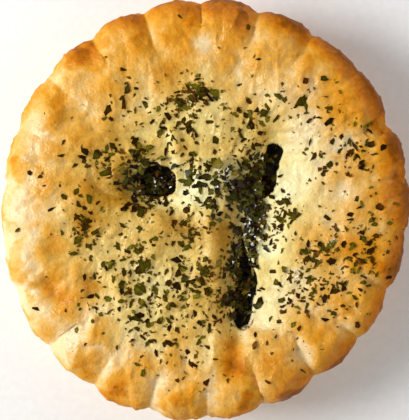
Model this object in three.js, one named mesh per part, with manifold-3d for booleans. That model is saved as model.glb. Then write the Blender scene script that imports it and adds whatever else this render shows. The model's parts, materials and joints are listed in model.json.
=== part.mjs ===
// A round chicken pie, baked in a fluted tin: one pastry crust, slit on top so that its dark filling shows,
// and strewn with dried herbs. Millimetres, +Z up, the origin at the middle of the flat base.
import * as THREE from "three";
import { mergeVertices } from "three/addons/utils/BufferGeometryUtils.js";
import Module from "manifold-3d";

// Outline, seen from above: a slightly oval round with even, pillowed lobes
const RADIUS = 55.2; // to the crest of a lobe
const OVAL = { by: 1.0, waves: 2, at: 74 }; // longest towards this angle, in degrees
const THREE_CORNERED = { by: 0.4, waves: 3, at: 5 };
const LOBES = 22;
const FIRST_NOTCH = 9; // degrees
const NOTCH_IN = 1.4; // how far a notch cuts in from the lobes
const LOBE_FULLNESS = 2.4; // over 2 is a flatter lobe with a sharper notch
const LOBE_RISE = 0.5; // each lobe stands up to this much above or below the others
const LOBE_DRAWS = { rise: 62, reach: 63 }; // the draws kept for the lobes and their folds

// How deep each notch is, from the first one on
const NOTCH_DEPTHS = [
  0.7, 1.5, 0.4, 1, 1.2, 1.2, 1.2, 1, 0.5, 0.5, 0.5, 0.5, 0.5, 0.9, 0.7, 1.1, 1, 1.1, 1.1, 0.8, 0.8, 0.6,
];

// Section, from the middle of the base outwards, up and back in over the lid: shares are of the outline
const BASE_SHARE = 0.75;
const HEEL = { share: 0.8, z: 2.8, flute: 0.7 }; // where the base's rounded edge meets the wall
const RIM = { z: 20.5, under: 4, flute: 1.1 }; // the widest line, and how far the roll curls in below it
const CREST = { share: 0.86, z: 28.2 };
const MIDDLE = { share: 0.3, z: 25.6 }; // from the crest the lid sinks in one long curve to here
const FOLD = { deep: 1.9, from: 0.68, to: 0.92 }; // folds between lobes run in over the rim, and fade
const FOLD_REACH = [-0.072, 0.048]; // each fold draws how far it runs in, between these shares
const FOLD_CURL = 40; // degrees round the rolled rim over which a fold opens
const LUMP_CURL = 60; // and over which the lid's lumps do
const SOFT_FOLD = { until: 0.76, over: 0.1, narrow: 2.2 }; // inside this share a fold is a rounded valley

// Swells in the lid where pieces of filling push it up
const SWELLS = [
  { x: 2, y: 21, wide: 9, high: 1.3 },
  { x: -12, y: -7, wide: 7, high: 1.3 },
  { x: 31, y: 12, wide: 10, high: 0.9 },
  { x: 31, y: -13, wide: 11, high: 0.9 },
  { x: -14, y: -27, wide: 10, high: 0.7 },
  { x: 1, y: -4.5, wide: 4, high: 1.0 },
  { x: 20, y: -35, wide: 8, high: 0.8 },
  { x: 22, y: 33, wide: 8, high: 0.6 },
  { x: -30, y: 15, wide: 9, high: 0.6 },
  { x: -19, y: 7, wide: 3.5, high: -1.6 },
];

// Dimples where the pastry was pressed
const DIMPLES = [
  { x: -31, y: -4, wide: 4, high: -1.0 },
  { x: -39.5, y: -8.5, wide: 4, high: -0.8 },
  { x: -40.7, y: -20.3, wide: 3.2, high: -1.1 },
  { x: -37, y: -23, wide: 2.6, high: -0.7 },
  { x: -29, y: -20.2, wide: 3, high: -0.9 },
  { x: -40.7, y: -32.8, wide: 3, high: -0.9 },
  { x: -30.6, y: -42.6, wide: 3.4, high: -1.0 },
  { x: -22.4, y: -48.5, wide: 3.4, high: -0.8 },
  { x: -42.3, y: 30.9, wide: 3.2, high: -0.4 },
  { x: -36.5, y: 29.3, wide: 2.6, high: -0.4 },
  { x: -31.7, y: 42, wide: 3.2, high: -0.8 },
  { x: 8.2, y: -35.5, wide: 3, high: -0.9 },
  { x: 7.8, y: -41.5, wide: 3, high: -1.1 },
];

// Ridges where the pastry puckered: each follows a line and falls off over a width of its own on either side
const RIDGES = [
  { line: [[-8.8, 21.5], [-7.5, 15.7], [-6.9, 9.5]], high: 1.5, left: 2.4, right: 1 },
  { line: [[-20.5, 14.8], [-22.9, 9.9], [-25, 4]], high: 0.9, left: 3.4, right: 1.7 },
  { line: [[-31, 1], [-25, 1.6], [-14.4, -1.3], [-7.7, -5.1], [-2, -10]], high: 1.4, left: 2.2, right: 3.4 },
  { line: [[0.4, 0.5], [2.1, -6.9], [1.9, -12.2], [0.6, -19]], high: 1.5, left: 4, right: 1.7 },
  { line: [[-23.8, -16.5], [-21.8, -22.9], [-21, -29]], high: 1.3, left: 4, right: 1.5 },
  { line: [[-28, -27.5], [-29.8, -35]], high: 1.3, left: 3.4, right: 1.4 },
  { line: [[-15.5, 45], [-11.2, 35.7], [-8.5, 30.4], [-5.5, 24.8]], high: 0.9, left: 1.8, right: 5 },
  { line: [[12.4, -31], [11.4, -38], [9.4, -43.5]], high: 1.3, left: 5, right: 1.8 },
];

// Hollows that the lid sags into: a fullness over 2 keeps one wide for longer, and it fades over a width of
// its own on either side
const BENT = [[18.9, 17.4], [17.4, 9], [13.4, 1], [11.4, -8], [11.4, -18], [9.5, -30.8]];
const VENT = [[-17, 7.3], [-12.3, 7.5], [-7.5, 7.7]];
const HOLLOWS = [
  { line: BENT, half: 2.4, full: 5, point: 0.5, widest: 0.5, deep: 2.6, left: 10.5, right: 6 },
  { line: VENT, half: 4, full: 2, point: 0.5, widest: 0.5, deep: 2.0, left: 5.5, right: 5.5 },
];

// Slits through the lid, at the bottom of the hollows: an end is round where its point is a half and sharper
// where that is more, and each is widest at its own share of the way
const SLITS = [
  { line: [[18.6, 17.5], [17.9, 12], [16.2, 3.4]], half: 2.4, full: 2.2, point: 0.6, widest: 0.4 },
  {
    line: [[10.2, -7.8], [11.1, -15], [11.3, -21.5], [9.4, -31.6]],
    half: 2.8, full: 2.2, point: 0.8, widest: 0.64,
  },
  { line: VENT, half: 4.3, full: 2.6, point: 0.5, widest: 0.5 },
];
const SLIT_STEPS = 18;
const LINE_STEPS = 40; // along ridges and hollows
const RIDGE_END = 4; // a higher power keeps a ridge high for longer before it runs out
const ON_LINE = 0.3; // nearer to a line than this, the side of it that a point lies on hardly counts

// Pastry and filling
const LID_THICK = 3.2;
const WALL_THICK = 4.2;
const BASE_THICK = 4;
const GAP = 0.3; // between pastry and filling
const FILLING_TOP = 20.4; // in the slits
const FILLING_SHOULDER = 0.92; // share of the room's width where its wall meets the lid
const LUMP = { least: 1, most: 1.65, apart: 3.4, sunk: 0.5, first: 5000 }; // pieces that show in the slits

// Dried herbs: where they fell thickest, how far each drift spreads, and how many flakes it holds
const DRIFTS = [
  { x: -5, y: 27.5, spread: 2.9, flakes: 52 },
  { x: -2.5, y: 31, spread: 2.4, flakes: 38 },
  { x: 7.5, y: 23.5, spread: 3.8, flakes: 26 },
  { x: 15, y: 25, spread: 4, flakes: 24 },
  { x: 30, y: 26, spread: 4.5, flakes: 26 },
  { x: 45, y: 20, spread: 5, flakes: 15 },
  { x: -21, y: 28, spread: 3.8, flakes: 15 },
  { x: -11, y: 20.5, spread: 3.4, flakes: 16 },
  { x: -26, y: 13.5, spread: 2.4, flakes: 20 },
  { x: -18, y: 14.5, spread: 2.8, flakes: 36 },
  { x: -1, y: 12.5, spread: 3.2, flakes: 26 },
  { x: 12.5, y: 13.5, spread: 2.2, flakes: 24 },
  { x: 38.5, y: 14.2, spread: 2.3, flakes: 20 },
  { x: -31, y: 8, spread: 6, flakes: 16 },
  { x: -31.5, y: -6, spread: 2.6, flakes: 36 },
  { x: -17, y: 1, spread: 3.2, flakes: 36 },
  { x: -4, y: -4.5, spread: 2.6, flakes: 32 },
  { x: 0.5, y: 2, spread: 2.4, flakes: 18 },
  { x: 20, y: -1.5, spread: 3.2, flakes: 40 },
  { x: 31, y: -11, spread: 3, flakes: 34 },
  { x: 41, y: -11.5, spread: 3.2, flakes: 44 },
  { x: 42, y: -2, spread: 4, flakes: 14 },
  { x: -18, y: -13, spread: 3.2, flakes: 26 },
  { x: -18, y: -22, spread: 4, flakes: 50 },
  { x: -6, y: -20, spread: 3.4, flakes: 44 },
  { x: 0.5, y: -17, spread: 2.4, flakes: 34 },
  { x: -16, y: -30, spread: 4.2, flakes: 26 },
  { x: -4, y: -30, spread: 5, flakes: 30 },
  { x: 5, y: -28, spread: 2.6, flakes: 18 },
  { x: -4, y: -38, spread: 5, flakes: 20 },
  { x: 23, y: -20.5, spread: 3.6, flakes: 30 },
  { x: 36, y: -22, spread: 5, flakes: 20 },
  { x: 0, y: 0, spread: 30, flakes: 60 },
];
const FLAKES_PER_DRIFT = 100; // draws kept for each drift
const FLAKE = { longest: 4.5, shortest: 1.2, fade: 1.4 }; // how long they are, and how fast they get shorter
const FLAKE_FORM = { narrow: 0.32, wide: 0.8, sides: 5, askew: 0.7, uneven: 0.5 };
const FLAKE_SET = { deep: 0.9, proud: 0.35 }; // how far a flake goes into the lid and stands above it
const FLAKE_SHARE = 0.12; // the largest of each drift stand out as solid relief
const FLAKE_REACH = 0.9; // none lies further out than this share of the outline
const FLAKE_CLEAR = 1.3; // from a slit's edge

// The few flakes that are far larger than the rest, each with its length and the way it points
const LARGE_FLAKES = [
  { x: 25.8, y: 28.2, long: 5.6, turn: 55 },
  { x: 15.7, y: 25.3, long: 5, turn: 18 },
  { x: -21.3, y: 36.5, long: 3.4, turn: -5 },
  { x: -21.6, y: 29, long: 3, turn: 40 },
  { x: 1.6, y: 29, long: 3.8, turn: -55 },
  { x: -16.2, y: -15, long: 6, turn: -70 },
  { x: 38.3, y: 14.9, long: 4.4, turn: 65 },
  { x: 28.8, y: 13.8, long: 4, turn: 60 },
  { x: 20.4, y: -24, long: 4.6, turn: 10 },
  { x: 33, y: -9.6, long: 4.8, turn: 35 },
  { x: 41.3, y: -13.6, long: 3.8, turn: -30 },
  { x: 26, y: -11.4, long: 3.4, turn: -40 },
  { x: -3.7, y: -19.2, long: 3.8, turn: 5 },
];
const LARGE_FIRST = 4000; // the draws kept for them

// Fineness of the facets: turns are in degrees round the heel and the rolled rim, shares across the lid
const STEPS_PER_LOBE = 6;
const ROUND = LOBES * STEPS_PER_LOBE;
const HEEL_TURNS = [0, 40, 70, 90];
const RIM_TURNS = [-50, -22, 5, 30, 55, 75];
const SLOPE_SHARES = spaced(CREST.share, 0.64, 5);
const LID_SHARES = spaced(0.57, 0.2, 6);
const CENTRE_SHARES = spaced(0.13, 0.065, 2);
const ROOM_SHARES = spaced(0.88, 0.14, 7);

const wasm = await Module();
wasm.setup();

const radians = THREE.MathUtils.degToRad;
const smooth = (t) => THREE.MathUtils.smoothstep(t, 0, 1);
const blend = THREE.MathUtils.lerp;

// Evenly spaced values from one to another.
function spaced(from, to, count) {
  return Array.from({ length: count }, (_, i) => from + ((to - from) * i) / (count - 1));
}

// A draw from 0 to 1 that is the same on every run: the broken-off digits of a large sine.
function draw(index, channel) {
  const digits = Math.sin(index * 127.1 + channel * 311.7) * 43758.5453;
  return digits - Math.floor(digits);
}

// The outline's radius at an angle, without its notches.
function outline(angle) {
  const wave = ({ by, waves, at }) => by * Math.cos(waves * (angle - radians(at)));
  return RADIUS + wave(OVAL) + wave(THREE_CORNERED);
}

// 0 on the lid, rising to 1 on the rim.
const rimRise = (share) => smooth((share - FOLD.from) / (FOLD.to - FOLD.from));

// How many lobes lie between the first notch and an angle, and a lobe's or notch's number from that.
const lobeTurns = (angle) => ((angle - radians(FIRST_NOTCH)) / (2 * Math.PI)) * LOBES;
const numbered = (turns) => THREE.MathUtils.euclideanModulo(turns, LOBES);

// How deep the notch beside a lobe is, from 0 on the lobe's crest to about 1, and how far it has opened as a
// fold, from 0 on the lid to 1 on the rim. It is a sharp cut at the edge and a rounded valley further in.
function folds(angle, share) {
  const turns = lobeTurns(angle);
  const edge = smooth((share - SOFT_FOLD.until) / SOFT_FOLD.over);
  const cut = Math.abs(2 * (turns - Math.floor(turns)) - 1) ** LOBE_FULLNESS;
  const valley = (0.5 + 0.5 * Math.cos(2 * Math.PI * turns)) ** SOFT_FOLD.narrow;
  const number = numbered(Math.round(turns));
  const opened = rimRise(share + blend(...FOLD_REACH, draw(number, LOBE_DRAWS.reach)));
  return { deep: blend(valley, cut, edge) * NOTCH_DEPTHS[number], opened };
}

// How far the folds lower the rim, less what the lobe rises.
function foldDrop(angle, share) {
  const turns = lobeTurns(angle);
  const highest = blend(-LOBE_RISE, LOBE_RISE, draw(numbered(Math.floor(turns)), LOBE_DRAWS.rise));
  const { deep, opened } = folds(angle, share);
  return FOLD.deep * deep * opened - rimRise(share) * highest * Math.sin(Math.PI * turns) ** 2;
}

// Steps along a line of points: the place, the direction and the share of the way at each.
function stepsAlong(line, shares) {
  const curve = new THREE.SplineCurve(line.map(([x, y]) => new THREE.Vector2(x, y)));
  return shares.map((share) => {
    return { at: curve.getPoint(share), along: curve.getTangent(share), share, radius: 0 };
  });
}

// A slit or hollow as a string of discs whose radii swell from nothing and back.
function discsOf({ line, half, full, point, widest }, steps) {
  const closerAtEnds = spaced(0, Math.PI, steps + 1).map((turn) => (1 - Math.cos(turn)) / 2);
  const skew = Math.log(0.5) / Math.log(widest);
  return stepsAlong(line, closerAtEnds).map((step) => {
    const fromMiddle = Math.abs(2 * step.share ** skew - 1);
    return { ...step, radius: half * (1 - fromMiddle ** full) ** point };
  });
}

// How far a point lies outside the nearest of some discs, that disc, and a width there that depends on the
// side: left or right of the line's direction.
function beside(discs, x, y, { left, right }) {
  const gaps = discs.map(({ at, radius }) => Math.hypot(x - at.x, y - at.y) - radius);
  const away = Math.min(...gaps);
  const near = discs[gaps.indexOf(away)];
  const across = near.along.x * (y - near.at.y) - near.along.y * (x - near.at.x);
  const side = across / Math.max(near.radius + away, ON_LINE);
  return { away, near, wide: blend(right, left, smooth(0.5 + 0.5 * side)) };
}

const slitDiscs = SLITS.map((slit) => discsOf(slit, SLIT_STEPS));
const hollows = HOLLOWS.map((hollow) => ({ ...hollow, discs: discsOf(hollow, LINE_STEPS) }));
const evenly = spaced(0, 1, LINE_STEPS);
const ridges = RIDGES.map((ridge) => ({ ...ridge, steps: stepsAlong(ridge.line, evenly) }));

// How far a point of the lid lies outside the nearest slit.
function fromSlit(x, y) {
  const gaps = slitDiscs.flat().map(({ at, radius }) => Math.hypot(x - at.x, y - at.y) - radius);
  return Math.min(...gaps);
}

// The lid's plain section by share of the outline: rolled rim, crest and sunk middle.
function lidSection(share) {
  if (share >= CREST.share) {
    const over = (share - CREST.share) / (1 - CREST.share);
    return RIM.z + (CREST.z - RIM.z) * Math.sqrt(Math.max(0, 1 - over * over));
  }
  return blend(CREST.z, MIDDLE.z, smooth((CREST.share - share) / (CREST.share - MIDDLE.share)));
}

// The sum of bell curves, each with its place, width and height.
function bells(spots, x, y) {
  return spots.reduce((sum, spot) => {
    const away = Math.hypot(x - spot.x, y - spot.y);
    return sum + spot.high * Math.exp(-((away / spot.wide) ** 2));
  }, 0);
}

// The height of the ridges, which run out at both ends.
function ridgeHeight(x, y) {
  return ridges.reduce((sum, ridge) => {
    const { away, near, wide } = beside(ridge.steps, x, y, ridge);
    return sum + ridge.high * (1 - (2 * near.share - 1) ** RIDGE_END) * Math.exp(-((away / wide) ** 2));
  }, 0);
}

// The lid's main form: its section and swells, less the hollows.
function lidHeight(x, y) {
  const share = Math.min(1, Math.hypot(x, y) / outline(Math.atan2(y, x)));
  const depths = hollows.map((hollow) => {
    const { away, wide } = beside(hollow.discs, x, y, hollow);
    return hollow.deep * smooth(1 - away / wide);
  });
  return lidSection(share) + bells(SWELLS, x, y) - Math.max(...depths);
}

// The lid's height with dimples, ridges and folds.
function pastryHeight(x, y) {
  const angle = Math.atan2(y, x);
  const share = Math.hypot(x, y) / outline(angle);
  return lidHeight(x, y) + bells(DIMPLES, x, y) + ridgeHeight(x, y) - foldDrop(angle, share);
}

// A ring of points round the pie, from a function of the angle.
function ring(count, pointAt) {
  return Array.from({ length: count }, (_, i) => {
    return pointAt(radians(FIRST_NOTCH) + (2 * Math.PI * i) / count);
  });
}

// A closed skin over rings that run from the middle of the underside to the middle of the top. A ring may
// have half the points of the one before it.
function skin(bottom, rings, top) {
  const points = [bottom, ...rings.flat(), top];
  const starts = rings.map((_, i) => 1 + rings.slice(0, i).reduce((sum, r) => sum + r.length, 0));
  const at = (i, k) => starts[i] + (k % rings[i].length);
  const faces = [];
  rings[0].forEach((_, k) => faces.push(0, at(0, k + 1), at(0, k)));
  for (let i = 0; i + 1 < rings.length; i++) {
    const halves = rings[i].length === 2 * rings[i + 1].length;
    rings[i + 1].forEach((_, k) => {
      if (halves) {
        const [a, b, c] = [at(i, 2 * k), at(i, 2 * k + 1), at(i, 2 * k + 2)];
        const [d, e] = [at(i + 1, k), at(i + 1, k + 1)];
        faces.push(a, b, d, b, e, d, b, c, e);
      } else {
        const [a, b] = [at(i, k), at(i, k + 1)];
        const [d, e] = [at(i + 1, k), at(i + 1, k + 1)];
        faces.push(a, b, e, a, e, d);
      }
    });
  }
  const last = rings.length - 1;
  rings[last].forEach((_, k) => faces.push(at(last, k), at(last, k + 1), points.length - 1));
  return new THREE.BufferGeometry().setFromPoints(points).setIndex(faces);
}

// A closed geometry as a solid that can be joined and cut, and back.
function solid(geometry) {
  const bare = geometry.clone();
  ["normal", "uv"].forEach((name) => bare.deleteAttribute(name));
  const merged = mergeVertices(bare);
  const vertProperties = new Float32Array(merged.attributes.position.array);
  const triVerts = new Uint32Array(merged.index.array);
  return new wasm.Manifold(new wasm.Mesh({ numProp: 3, vertProperties, triVerts }));
}

function geometryOf(made) {
  const { vertProperties, triVerts } = made.getMesh();
  const geometry = new THREE.BufferGeometry();
  geometry.setAttribute("position", new THREE.BufferAttribute(vertProperties, 3));
  geometry.setIndex(new THREE.BufferAttribute(triVerts, 1));
  geometry.computeVertexNormals();
  return geometry;
}

const joined = (pieces) => pieces.reduce((whole, piece) => whole.add(piece));

// The whole pie's outer form: flat base, fluted wall, rolled rim and lid.
function outerForm() {
  const sideRing = (share, z, flute, curl = () => 0) =>
    ring(ROUND, (angle) => {
      const out = share * outline(angle);
      const r = out - flute * NOTCH_IN * folds(angle, share).deep;
      const lump = curl(angle, out * Math.cos(angle), out * Math.sin(angle));
      return new THREE.Vector3(r * Math.cos(angle), r * Math.sin(angle), z + lump);
    });
  const heel = HEEL_TURNS.map(radians).map((turn) => {
    const share = blend(BASE_SHARE, HEEL.share, Math.sin(turn));
    return sideRing(share, HEEL.z * (1 - Math.cos(turn)), Math.sin(turn) * HEEL.flute);
  });
  const rimShare = (turn) => blend(CREST.share, 1, Math.cos(radians(turn)));
  const rimHeight = (turn) => RIM.z + (turn < 0 ? RIM.under : CREST.z - RIM.z) * Math.sin(radians(turn));
  const rim = RIM_TURNS.map((turn) => {
    const curl = (angle, x, y) => {
      const lumps = bells(SWELLS, x, y) + bells(DIMPLES, x, y) + ridgeHeight(x, y);
      return smooth(turn / LUMP_CURL) * lumps - smooth(turn / FOLD_CURL) * foldDrop(angle, rimShare(turn));
    };
    return sideRing(rimShare(turn), rimHeight(turn), RIM.flute, curl);
  });
  const midShare = (HEEL.share + rimShare(RIM_TURNS[0])) / 2;
  const midHeight = (HEEL.z + rimHeight(RIM_TURNS[0])) / 2;
  const wall = sideRing(midShare, midHeight, (HEEL.flute + RIM.flute) / 2);
  const lidRing = (share, count) =>
    ring(count, (angle) => {
      const r = share * outline(angle);
      const [x, y] = [r * Math.cos(angle), r * Math.sin(angle)];
      const { deep, opened } = folds(angle, share);
      const inward = 1 - (RIM.flute * NOTCH_IN * deep * opened) / r;
      return new THREE.Vector3(x * inward, y * inward, pastryHeight(x, y));
    });
  const slope = SLOPE_SHARES.map((share) => lidRing(share, ROUND));
  const lid = LID_SHARES.map((share) => lidRing(share, ROUND / 2));
  const centre = CENTRE_SHARES.map((share) => lidRing(share, ROUND / 4));
  const top = new THREE.Vector3(0, 0, pastryHeight(0, 0));
  return skin(new THREE.Vector3(0, 0, 0), [...heel, wall, ...rim, ...slope, ...lid, ...centre], top);
}

// The room inside the crust, or with an inset the filling in it. It follows the wall and the lid from inside.
function innerForm(inset) {
  const innerRing = (share, zAt) =>
    ring(ROUND / 3, (angle) => {
      const r = share * (outline(angle) - WALL_THICK - NOTCH_IN) - inset;
      const [x, y] = [r * Math.cos(angle), r * Math.sin(angle)];
      return new THREE.Vector3(x, y, zAt(x, y));
    });
  const under = (x, y) => lidHeight(x, y) - LID_THICK - inset;
  const floor = BASE_THICK + inset;
  const shoulder = innerRing(FILLING_SHOULDER, () => RIM.z - LID_THICK);
  const wall = [innerRing(HEEL.share, () => floor), shoulder];
  const lid = ROOM_SHARES.map((share) => innerRing(share, under));
  const top = new THREE.Vector3(0, 0, under(0, 0));
  return skin(new THREE.Vector3(0, 0, floor), [...wall, ...lid], top);
}

// An upright block with a slit's outline, taken in by an inset, between two heights.
function slitBlock(discs, inset, low, high) {
  const edge = (side) => ({ at, along, radius }) => {
    const half = Math.max(0, radius - inset) * side;
    return new THREE.Vector2(at.x - along.y * half, at.y + along.x * half);
  };
  const inner = discs.filter(({ radius }) => radius > inset);
  const shape = new THREE.Shape([...inner.map(edge(1)), ...inner.map(edge(-1)).reverse()]);
  return new THREE.ExtrudeGeometry(shape, { depth: high - low, bevelEnabled: false }).translate(0, 0, low);
}

// Flakes of dried herb: the large ones, then the largest of each drift, where they lie clear of the slits.
function herbFlakes() {
  const flakes = LARGE_FLAKES.map(({ x, y, long, turn }, k) => {
    return herbFlake(new THREE.Vector2(x, y), long, radians(turn), LARGE_FIRST + k);
  });
  DRIFTS.forEach(({ x, y, spread, flakes: count }, drift) => {
    for (let k = 0; k < count * FLAKE_SHARE; k++) {
      const index = drift * FLAKES_PER_DRIFT + k;
      const thrown = spread * Math.sqrt(-2 * Math.log(1 - draw(index, 1)));
      const way = 2 * Math.PI * draw(index, 2);
      const at = new THREE.Vector2(x + thrown * Math.cos(way), y + thrown * Math.sin(way));
      const size = (1 - k / count) ** FLAKE.fade * Math.sqrt(draw(index, 3));
      const long = blend(FLAKE.shortest, FLAKE.longest, size);
      const inside = at.length() < FLAKE_REACH * outline(at.angle());
      const clear = fromSlit(at.x, at.y) > FLAKE_CLEAR + long / 2;
      if (inside && clear) flakes.push(herbFlake(at, long, Math.PI * draw(index, 4), index));
    }
  });
  return flakes;
}

// One flake: a short, uneven prism set into the lid and leaning with it.
function herbFlake(at, long, turn, index) {
  const { narrow, wide, sides, askew, uneven } = FLAKE_FORM;
  const slender = blend(narrow, wide, draw(index, 5));
  const corners = Array.from({ length: sides }, (_, i) => {
    const corner = (2 * Math.PI * (i + askew * (draw(index, 15 + i) - 0.5))) / sides;
    const reach = (long / 2) * (1 - uneven * draw(index, 10 + i));
    return new THREE.Vector2(reach * Math.cos(corner), slender * reach * Math.sin(corner));
  });
  const depth = FLAKE_SET.deep + FLAKE_SET.proud;
  const plate = new THREE.ExtrudeGeometry(new THREE.Shape(corners), { depth, bevelEnabled: false });
  const step = 0.5;
  const rise = (dx, dy) => pastryHeight(at.x + dx, at.y + dy) - pastryHeight(at.x - dx, at.y - dy);
  const upright = new THREE.Vector3(-rise(step, 0), -rise(0, step), 2 * step).normalize();
  const leaning = new THREE.Quaternion().setFromUnitVectors(new THREE.Vector3(0, 0, 1), upright);
  plate.translate(0, 0, -FLAKE_SET.deep).rotateZ(turn).applyQuaternion(leaning);
  return plate.translate(at.x, at.y, pastryHeight(at.x, at.y));
}

// Rough pieces of filling that stand up along a slit, wherever it is wide enough for them.
function fillingLumps(discs, slit) {
  const steps = discs.slice(1).map(({ at }, i) => at.distanceTo(discs[i].at));
  const count = Math.floor(steps.reduce((sum, step) => sum + step) / LUMP.apart);
  const lumps = [];
  for (let k = 1; k < count; k++) {
    const { at, along, radius } = discs[Math.round((k / count) * SLIT_STEPS)];
    const index = LUMP.first + slit * FLAKES_PER_DRIFT + k;
    const size = blend(LUMP.least, LUMP.most, draw(index, 1));
    const room = radius - size - GAP;
    if (room < 0) continue;
    const aside = room * (2 * draw(index, 2) - 1);
    const lump = new THREE.IcosahedronGeometry(size, 0);
    lump.rotateX(Math.PI * draw(index, 3)).rotateZ(Math.PI * draw(index, 4));
    lumps.push(lump.translate(at.x - along.y * aside, at.y + along.x * aside, FILLING_TOP - LUMP.sunk));
  }
  return lumps;
}

function crustGeometry() {
  const room = solid(innerForm(0));
  const aboveAll = 2 * CREST.z;
  const slits = slitDiscs.map((discs) => solid(slitBlock(discs, 0, RIM.z - LID_THICK, aboveAll)));
  const strewn = herbFlakes().map(solid);
  return geometryOf(joined([solid(outerForm()), ...strewn]).subtract(joined([room, ...slits])));
}

function fillingGeometry() {
  const wellInside = 2 * BASE_THICK;
  const plugs = slitDiscs.map((discs) => solid(slitBlock(discs, GAP, wellInside, FILLING_TOP)));
  const lumps = slitDiscs.flatMap((discs, slit) => fillingLumps(discs, slit).map(solid));
  return geometryOf(joined([solid(innerForm(GAP)), ...plugs, ...lumps]));
}

function part(name, geometry, color, roughness) {
  const mesh = new THREE.Mesh(geometry, new THREE.MeshStandardMaterial({ color, roughness, metalness: 0 }));
  mesh.name = name;
  return mesh;
}

const pie = new THREE.Group();
pie.add(part("crust", crustGeometry(), 0xe3b263, 0.5));
pie.add(part("filling", fillingGeometry(), 0x23240f, 0.35));

export default pie;
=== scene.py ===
# %% [markdown]
# # A chicken pie, strewn with herbs
#
# The solid pie comes from CAD: a pastry crust from a fluted tin, with three slits in its lid, and a
# filling that runs through it. It is loaded here as a fixed frame, and each piece is then replaced by a
# finer surface with the same form. All sizes below are in millimetres and are the CAD's own, so nothing
# has to be fitted.

# %% Load the solid pie
import json
import bpy
import numpy as np
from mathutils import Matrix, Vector

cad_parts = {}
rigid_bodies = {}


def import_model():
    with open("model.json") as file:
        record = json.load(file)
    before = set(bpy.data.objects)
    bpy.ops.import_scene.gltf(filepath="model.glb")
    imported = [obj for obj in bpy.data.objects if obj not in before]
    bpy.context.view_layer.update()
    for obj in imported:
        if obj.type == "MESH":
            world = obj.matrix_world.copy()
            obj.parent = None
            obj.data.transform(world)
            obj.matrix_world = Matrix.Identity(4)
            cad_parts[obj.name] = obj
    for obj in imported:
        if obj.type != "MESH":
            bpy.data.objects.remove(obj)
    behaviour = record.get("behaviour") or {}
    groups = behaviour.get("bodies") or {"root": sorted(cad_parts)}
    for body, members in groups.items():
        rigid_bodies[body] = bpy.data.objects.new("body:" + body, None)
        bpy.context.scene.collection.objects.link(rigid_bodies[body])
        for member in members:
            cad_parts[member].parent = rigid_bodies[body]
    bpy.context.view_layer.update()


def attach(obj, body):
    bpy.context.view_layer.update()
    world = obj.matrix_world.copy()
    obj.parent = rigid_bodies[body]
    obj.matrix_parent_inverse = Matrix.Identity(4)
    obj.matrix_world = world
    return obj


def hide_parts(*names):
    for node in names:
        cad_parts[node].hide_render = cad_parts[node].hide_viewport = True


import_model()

MM = 0.001

# %% [markdown]
# ## Small tools
#
# Everything that looks random on a pie, such as where a flake fell, is drawn here from the digits of a
# sine. That is the same on every run, and it works on whole arrays. Each use has a channel, so that
# unlike things don't follow each other. Soft noise blends such draws between the corners of a lattice
# of cubes, so that its bumps have a real size in millimetres.

# %% Blends, draws and noise
SINE = dict(index=127.1, channel=311.7, high=43758.5453)  # any large, uneven numbers do
CUBE_STEPS = (1, 157, 24649)  # how a cube's number grows along x, y and z
TINY = 1e-9


def smooth(t):
    """The curve 3t² - 2t³, which leaves 0 and reaches 1 without a kink."""
    t = np.clip(t, 0, 1)
    return t * t * (3 - 2 * t)


def ramp(value, start, over):
    """0 up to a start, and from there smoothly up to 1 over a width."""
    return smooth((value - start) / over)


def blend(low, high, share):
    """The value at a share of the way from low to high."""
    return low + (high - low) * share


def draw(index, channel):
    """A draw from 0 to 1: the broken-off digits of a large sine."""
    digits = np.sin(index * SINE["index"] + channel * SINE["channel"]) * SINE["high"]
    return digits - np.floor(digits)


def soft_noise(points, size, channel):
    """Noise from -1 to 1: draws at the corners of cubes of a size, blended smoothly inside each cube."""
    cell = np.floor(points / size)
    part = smooth(points / size - cell)
    total = np.zeros(points.shape[:-1])
    for corner in np.ndindex(2, 2, 2):
        weight = np.prod(np.where(corner, part, 1 - part), axis=-1)
        total += weight * draw((cell + corner) @ CUBE_STEPS, channel)
    return 2 * total - 1


def layers(points, heights, channel):
    """Soft noise of several sizes, each with its own height, added up."""
    return sum(by * soft_noise(points, size, channel + i) for i, (size, by) in enumerate(heights.items()))


print("first draws:", draw(np.arange(5), channel=1).round(2))

# %% [markdown]
# ## The form of the pie
#
# From above the pie is a slightly oval round with 22 lobes, one for each flute of the tin. Across, it
# runs from the flat base up the wall, round the rolled rim to its crest, and down to the lid. One could
# sculpt this, but a formula for each of those lines keeps the surface on the solid that the CAD holds.

# %% Outline and section
RADIUS = 55.2  # to the crest of a lobe
WAVES = [dict(by=1.0, waves=2, at=74), dict(by=0.4, waves=3, at=5)]  # oval, and a little three-cornered
BASE_SHARE = 0.75
HEEL = dict(share=0.8, z=2.8, flute=0.7)
RIM = dict(z=20.5, under=4, flute=1.1, tuck=-50)
CREST = dict(share=0.86, z=28.2)
MIDDLE = dict(share=0.3, z=25.6)


def outline(angle):
    """The radius to the lobes: a circle and two cosine waves round it."""
    waves = [w["by"] * np.cos(w["waves"] * (angle - np.radians(w["at"]))) for w in WAVES]
    return RADIUS + sum(waves)


def share_at(x, y):
    """How far out a place lies, as a share of the outline."""
    return np.hypot(x, y) / outline(np.arctan2(y, x))


def lid_section(share):
    """Height by share of the outline: from the crest it sinks in one long curve to the lid's middle."""
    sunk = smooth((CREST["share"] - share) / (CREST["share"] - MIDDLE["share"]))
    return blend(CREST["z"], MIDDLE["z"], sunk)


print("radius at four sides, mm:", outline(np.radians([0, 90, 180, 270])).round(1))

# %% [markdown]
# No two lobes of a hand-pressed rim are alike. At the edge a notch is a sharp cut between two round
# lobes, and further in it opens into a soft fold that wanders. Each notch has its own depth, from the
# first one on, and draws its reach. Each lobe draws its height, which fades out at its notches, so that
# the rim stays in one piece.

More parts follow.
